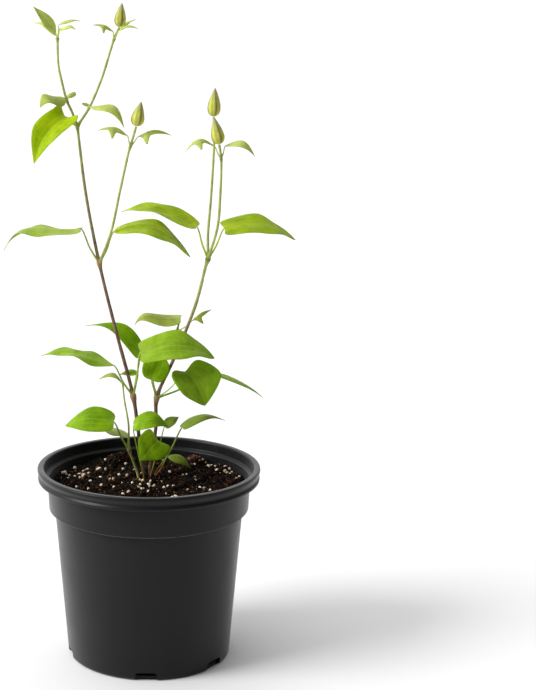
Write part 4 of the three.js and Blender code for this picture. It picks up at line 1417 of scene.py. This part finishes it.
STEMS = (
    Stem(
        "left_stem",
        "woody_stem",
        (
            Branch(((-3.4, 9, 136), (-5, 10, 148), (-8.7, 12, 176.5), LEFT_LOW_JOINT, (-25, 11, 251),
                    LEFT_JOINT, (-46.5, 8, 353.5), LEFT_FORK), (1.5, 0.95), (1.0, 0.25), rooted=True),
            Branch((LEFT_FORK, (-56.5, 11, 414.5), LEFT_PAIR, (-64, 12, 437.5), (-66, 12, 448), LEFT_TIP),
                   (0.95, 0.8), (0.3, 0.0)),
            Branch((LEFT_FORK, LEFT_SIDE_NODE, (-34.5, 14, 438.5), LEFT_BUD_NODE, (-23.5, 16, 471),
                    (-21.5, 16, 475)), (0.95, 0.85), (0.25, 0.0)),
            Branch((LEFT_JOINT, (-28, 1, 327), (-21, -2, 358.5), (-14.5, -2, 387), MIDDLE_BUD_NODE,
                    (-9.3, -2, 404.5)), (0.95, 0.85), (0.25, 0.0)),
        ),
        (
            (LEFT_LOW_JOINT, 2.7, 0.9), (LEFT_JOINT, 2.2, 0.8), (LEFT_FORK, 1.7, 0.0), (LEFT_PAIR, 1.3, 0.0),
            (LEFT_SIDE_NODE, 1.3, 0.0), (LEFT_TIP, 1.5, 0.1), (LEFT_BUD_NODE, 1.3, 0.0),
            (MIDDLE_BUD_NODE, 1.3, 0.0),
        ),
    ),
    Stem(
        "right_stem",
        "woody_stem",
        (
            Branch(((0.8, 10.5, 136), (1.6, 11, 147.5), (5.5, 13, 176.5), RIGHT_JOINT, (18, 16, 225.5),
                    (29.5, 16, 253.5), (36.5, 16, 273.5), (43, 16, 300), RIGHT_CROWN),
                   (1.5, 1.1), (1.0, 0.1), rooted=True),
            Branch((RIGHT_CROWN, (44.5, 21, 323.5), (46.5, 23, 348.5), (48, 23, 376), (48.5, 23, 389.5),
                    (48, 23, 410)), (1.0, 0.85), (0.2, 0.05)),
            Branch((RIGHT_CROWN, (51, 9, 329.5), (52.5, 5, 350.5), RIGHT_BUD_NODE, (51.5, 4, 391)),
                   (1.0, 0.85), (0.2, 0.05)),
            Branch((RIGHT_JOINT, (3, 19, 213.5), (11, 26, 231), SIDE_SHOOT_TIP), (0.8, 0.7), (0.2, 0.1)),
        ),
        (
            (RIGHT_JOINT, 2.5, 0.9), (RIGHT_CROWN, 2.2, 0.0), (RIGHT_BUD_NODE, 1.3, 0.0),
            (SIDE_SHOOT_TIP, 1.8, 0.1),
        ),
    ),
    Stem(
        "basal_shoot",
        "green_stem",
        (
            Branch(((-8, 6, 136.5), (-11.5, 5, 148.5), BASAL_NODE, (-15.5, 4, 179), (-18.8, 5, 199.5),
                    BASAL_TIP), (0.95, 0.6), (0.3, 0.0), rooted=True),
        ),
        ((BASAL_NODE, 1.8, 0.2),),
    ),
)

BUDS = (
    Bud("bud_1", (-21.5, 16, 475.3), (-19.5, 16, 492.5), 9, 20),
    Bud("bud_2", (-9.3, -2, 404.8), (-5.5, -2, 422.5), 10.5, 15),
    Bud("bud_3", (48, 23, 410.3), (49, 23, 431.5), 10.5, 25),
    Bud("bud_4", (51.5, 4, 391.3), (47.5, 4, 411), 10.5, 18),
)

LEAVES = (
    # Tip of the left shoot.
    Leaf("top_leaf_1", LEFT_TIP, (-67.5, 10, 471), (-83.5, 4, 490), Shape.SLIM, Tone.TENDER,
         width=9, arch=2, face=60, fold=-20),
    Leaf("top_leaf_2", LEFT_TIP, (-68, 18, 469), (-85, 26, 478), Shape.SLIM, Tone.TENDER,
         width=8, arch=4.5, face=10, fold=20),
    Leaf("top_leaf_3", LEFT_TIP, (-65.5, 16, 477), (-50.5, 24, 479.5), Shape.SLIM, Tone.TENDER,
         width=8, arch=2, face=0, fold=20),
    Leaf("top_leaf_4", LEFT_TIP, (-64.5, 8, 474), (-52.5, -2, 473), Shape.SLIM, Tone.TENDER,
         width=8, arch=3, face=15, fold=30, crest=0.65),
    Leaf("pair_leaf_1", LEFT_PAIR, (-61.3, 9, 424.5), (-79, 0, 418), Shape.LANCE, Tone.PALE,
         width=17, arch=6.5, face=35, fold=5, crest=0.75),
    Leaf("pair_leaf_2", LEFT_PAIR, (-59.5, 15, 424), (-54.5, 24, 428), Shape.SLIM, Tone.PALE,
         width=9, arch=1.5, face=-10, fold=15),
    Leaf("left_heart_leaf", LEFT_FORK, (-60.3, 1, 411.2), (-83.5, -7, 378), Shape.HEART, Tone.UPPER,
         width=26, arch=3, face=72, fold=-24, roll=22, bend=-5),
    Leaf("fork_leaf_1", LEFT_SIDE_NODE, (-42.5, 11, 418), (-18, 4, 402.5), Shape.SLIM, Tone.TENDER,
         width=12, arch=10, face=25, fold=10, crest=0.55),
    Leaf("fork_leaf_2", LEFT_SIDE_NODE, (-45.5, 15, 418), (-49, 26, 420), Shape.SLIM, Tone.PALE,
         width=5, arch=1, face=0),
    # Bracts under the flower buds.
    Leaf("bract_1", LEFT_BUD_NODE, (-26, 13, 472), (-40.5, 7, 476.5), Shape.TOOTHED, Tone.TENDER,
         width=6, arch=2.5, face=5, fold=45),
    Leaf("bract_2", LEFT_BUD_NODE, (-22, 20, 473), (-9.5, 28, 480.5), Shape.SLIM, Tone.TENDER,
         width=7, arch=2, face=-5, fold=20),
    Leaf("bract_3", LEFT_BUD_NODE, (-22, 12, 472.5), (-8, 4, 474), Shape.SLIM, Tone.TENDER,
         width=7, arch=3, face=10, fold=20),
    Leaf("bract_4", MIDDLE_BUD_NODE, (-15.5, -4, 398), (-37, -8, 402), Shape.TOOTHED, Tone.TENDER,
         width=8, arch=4.5, face=0, fold=52),
    Leaf("bract_5", MIDDLE_BUD_NODE, (-8, 0, 397), (16.5, 4, 397.5), Shape.SPURRED, Tone.TENDER,
         width=8, arch=4.5, face=0, fold=52),
    Leaf("bract_6", RIGHT_BUD_NODE, (48, -2, 390), (26, -8, 386), Shape.TOOTHED, Tone.TENDER,
         width=7, arch=8, face=10, fold=40),
    Leaf("bract_7", RIGHT_BUD_NODE, (56, 5, 390), (77.5, 0, 382.5), Shape.SLIM, Tone.TENDER,
         width=12, arch=7, face=20, fold=5),
    # Large leaves of the upper stems.
    Leaf("left_joint_leaf_1", LEFT_JOINT, (-50.5, 3, 329.5), (-109.5, 22, 310), Shape.OVAL, Tone.SOFT,
         width=19, arch=11.5, face=12, fold=10, crest=0.66, wave=-2),
    Leaf("left_joint_leaf_2", LEFT_JOINT, (-26, 4, 327), (31, 14, 306.5), Shape.LANCE, Tone.UPPER,
         width=29, arch=13.5, face=20, fold=-4, crest=0.48, wave=1),
    Leaf("right_crown_leaf_1", RIGHT_CROWN, (36, 20, 328.5), (-21.5, 42, 337), Shape.OVAL, Tone.UPPER,
         width=23, arch=8.3, face=17, fold=-14, crest=0.56, wave=1),
    Leaf("right_crown_leaf_2", RIGHT_CROWN, (56.5, 18, 327.5), (112, 38, 316), Shape.FULL, Tone.UPPER,
         width=28, arch=9, face=25, fold=-8, crest=0.5, wave=0.9),
    # Leaves of the right stem's lower joint.
    Leaf("right_joint_leaf_1", RIGHT_JOINT, (27.3, 0, 221.5), (42, -10, 197.5), Shape.CORDATE, Tone.FRESH,
         width=44, arch=2, face=74, fold=-32, roll=-25, bend=3),
    Leaf("right_joint_leaf_2", RIGHT_JOINT, (44.7, 24, 215.7), (88.5, 32, 193.5), Shape.SLIM, Tone.FRESH,
         width=19, arch=4, face=3),
    Leaf("right_joint_leaf_3", RIGHT_JOINT, (2, 8, 213), (10, 22, 232), Shape.OVAL, Tone.LOWER,
         width=22, arch=3, face=80, fold=-15),
    Leaf("side_shoot_leaf_1", SIDE_SHOOT_TIP, (23.8, 30, 257), (-11, 36, 250), Shape.FULL, Tone.PALE,
         width=17, arch=7, face=22, fold=8, crest=0.75),
    Leaf("side_shoot_leaf_2", SIDE_SHOOT_TIP, (33, 21, 256.5), (48.5, 34, 262.5), Shape.SPURRED, Tone.PALE,
         width=6, arch=2, face=5, fold=35),
    # Leaves of the left stem's lower joint.
    Leaf("left_low_leaf_1", LEFT_LOW_JOINT, (-26.5, 10, 224), (-82.5, 16, 230), Shape.SLIM, Tone.FRESH,
         width=21, arch=7, face=12, fold=-4, crest=0.6, wave=1.6),
    Leaf("left_low_leaf_2", LEFT_LOW_JOINT, (-6, -6, 237), (49.5, 6, 230.5), Shape.FULL, Tone.FRESH,
         width=31, arch=11, face=34, fold=-12, crest=0.53, wave=1.2),
    Leaf("left_low_leaf_3", LEFT_LOW_JOINT, (-7, 28, 230.5), (-49.5, 38, 249), Shape.LONG, Tone.LOWER,
         width=14, arch=11, face=15, roll=-70, twist=75),
    Leaf("left_low_leaf_4", LEFT_LOW_JOINT, (-8.4, 14, 216.5), (-22.5, 21, 214), Shape.SLIM, Tone.LOWER,
         width=10, arch=3, face=20, fold=10),
    # Shoots from the soil.
    Leaf("basal_leaf_1", BASAL_NODE, (-26.5, -4, 183.5), (-64, 6, 177.5), Shape.OVAL, Tone.LOWER,
         width=25, arch=6, face=36, fold=-5),
    Leaf("basal_leaf_2", BASAL_TIP, (-20, 5, 211), (-37.5, -2, 216), Shape.SLIM, Tone.PALE,
         width=12, arch=6.5, face=5, fold=20),
    Leaf("basal_leaf_3", BASAL_NODE, (-22, 10, 168.5), (-32, 34, 169.5), Shape.OVAL, Tone.PALE,
         width=22, arch=2, face=-35),
    Leaf("low_leaf_1", (-3.6, 4.4, 136), (-11.5, -6, 181), (15, -4, 179.5), Shape.OVAL, Tone.LOWER,
         width=17, arch=8.5, face=36, fold=-5, rooted=True),
    # Its darker leaf tone is painted shade.
    Leaf("low_leaf_2", (1.2, 5, 136.5), (7, -20, 173.5), (-6.5, -26, 159.5), Shape.HEART, Tone.DEEP,
         width=25, arch=3, face=70, fold=-5, rooted=True),
    Leaf("low_leaf_3", (4.6, 8.6, 136), (14.5, 8, 153), (32, 4, 144.5), Shape.SLIM, Tone.DULL,
         width=9, arch=4, face=30, fold=5, rooted=True),
    Leaf("low_leaf_4", (5, 14, 137), (25.5, 12, 175), (59, 28, 176), Shape.OVAL, Tone.DULL,
         width=15, arch=7, face=4, fold=5, rooted=True),
    Leaf("low_leaf_5", (1.6, 16.5, 136.5), (12, 12, 175.5), (23, 20, 181), Shape.OVAL, Tone.DULL,
         width=9, arch=2, face=35, rooted=True),
)


# ---- Studio ---------------------------------------------------------------------------------------


@dataclass(frozen=True)
class Studio:
    """A plain white floor, soft light from the left and the camera."""

    focal_pixels: float = 1500
    picture_height: float = 690
    centre_offset: float = 119.1
    sensor_width: float = 36
    camera_place: Point = (0, -1100.7, 473.5)
    camera_pitch: float = 11.88
    sight: float = 300
    floor_reach: float = 150000
    floor_drop: float = 0.05
    floor_lines: int = 9
    floor_tones: tuple[float, float] = (0.8, 0.81)
    key_from: tuple[float, float] = (-0.95, -0.31)
    key_height: float = 32
    key_spread: float = 30
    key_power: float = 3.0
    bright_side: Point = (-0.6, 0.5, 0.62)
    dim: tuple[float, float] = (-0.25, 0.1)
    bright: tuple[float, float] = (0.95, 1.45)
    seen: float = 1.05

    def camera(self) -> None:
        """Sets the camera at the fitted place, tilt, focal length and shift."""
        lens = bpy.data.cameras.new("camera")
        lens.sensor_width = self.sensor_width
        lens.lens = self.focal_pixels * self.sensor_width / self.picture_height
        lens.shift_x = self.centre_offset / self.picture_height
        lens.clip_end = self.sight
        camera = bpy.data.objects.new("camera", lens)
        camera.location = [MM * v for v in self.camera_place]
        camera.rotation_euler = (math.radians(90 - self.camera_pitch), 0, 0)
        bpy.context.scene.collection.objects.link(camera)
        bpy.context.scene.camera = camera

    def floor(self) -> None:
        """Lays the floor, a flat square grid just under the pot."""
        count = self.floor_lines
        line = np.linspace(-self.floor_reach, self.floor_reach, count)
        x, y = np.meshgrid(line, line, indexing="ij")
        points = np.stack([x, y, 0 * x - self.floor_drop], -1).reshape(-1, 3)
        index = np.arange(count * count).reshape(count, count)
        quads = np.stack([index[:-1, :-1], index[1:, :-1], index[1:, 1:], index[:-1, 1:]], -1).reshape(-1, 4)
        paint = Paint("white floor", Roughness=0.9, Specular_IOR_Level=0.1)
        tone = paint.ease(paint.noise(paint.place, 3.0), 0.0, 1.0, *self.floor_tones)
        paint.put(paint.shader.inputs["Base Color"], tone)
        Skin(points, [quads]).piece("studio_floor", paint.material)

    def key(self) -> None:
        """Hangs a large, far and soft light at the left, a little to the front."""
        lamp = bpy.data.lights.new("key", "SUN")
        lamp.angle = math.radians(self.key_spread)
        lamp.energy = self.key_power
        lift = math.radians(self.key_height)
        level = unit(np.array(self.key_from))
        light = bpy.data.objects.new("key", lamp)
        light.location = [*level * math.cos(lift), math.sin(lift)]
        light.rotation_euler = (math.pi / 2 - lift, 0, math.atan2(level[1], level[0]) + math.pi / 2)
        bpy.context.scene.collection.objects.link(light)

    def air(self) -> None:
        """Surrounds the object with soft white light, brightest at the upper left and dim at the front.

        The camera sees plain white. The light's strength rises smoothly from dim to bright, each of which
        holds the cosine between a direction and the bright side, and the strength there.
        """
        world = bpy.data.worlds.new("studio air")
        world.use_nodes = True
        bpy.context.scene.world = world
        graph = Graph(world.node_tree)
        place = graph.node("ShaderNodeTexCoord").outputs["Generated"]
        sides = {0: place, 1: unit(np.array(self.bright_side)).tolist()}
        cosine = graph.node("ShaderNodeVectorMath", sides, operation="DOT_PRODUCT").outputs["Value"]
        (low, start), (high, end) = self.dim, self.bright
        seen = graph.times(graph.node("ShaderNodeLightPath").outputs["Is Camera Ray"], self.seen)
        strength = graph.math("MAXIMUM", graph.ease(cosine, low, high, start, end), seen)
        shine = next(n for n in world.node_tree.nodes if n.type == "BACKGROUND")
        graph.put(shine.inputs["Strength"], strength)
        graph.put(shine.inputs["Color"], (1, 1, 1))

    def build(self) -> None:
        """Sets up the floor, the light and the camera, with plain colours for the picture."""
        self.camera()
        self.floor()
        self.key()
        self.air()
        bpy.context.scene.view_settings.view_transform = "Standard"
        log.info("the studio stands")


# ---- Making ---------------------------------------------------------------------------------------


def write_sizes() -> None:
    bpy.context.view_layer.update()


def main() -> None:
    """Loads the frame, sets up the studio and builds each part of the object in order."""
    logging.basicConfig(level=logging.INFO, format="%(name)s: %(message)s")
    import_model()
    effects = Effects()
    Studio().build()
    Pot().build(PotFinish().material(effects))
    build_mix(effects)
    for parts, finish in ((STEMS, StemFinish()), (BUDS, BudFinish())):
        material = finish.material(effects)
        for part in parts:
            part.build(material)
    finishes = {tone: tone.value.material(effects) for tone in Tone}
    for leaf in LEAVES:
        leaf.build(finishes)
    write_sizes()


if __name__ == "__main__":
    main()
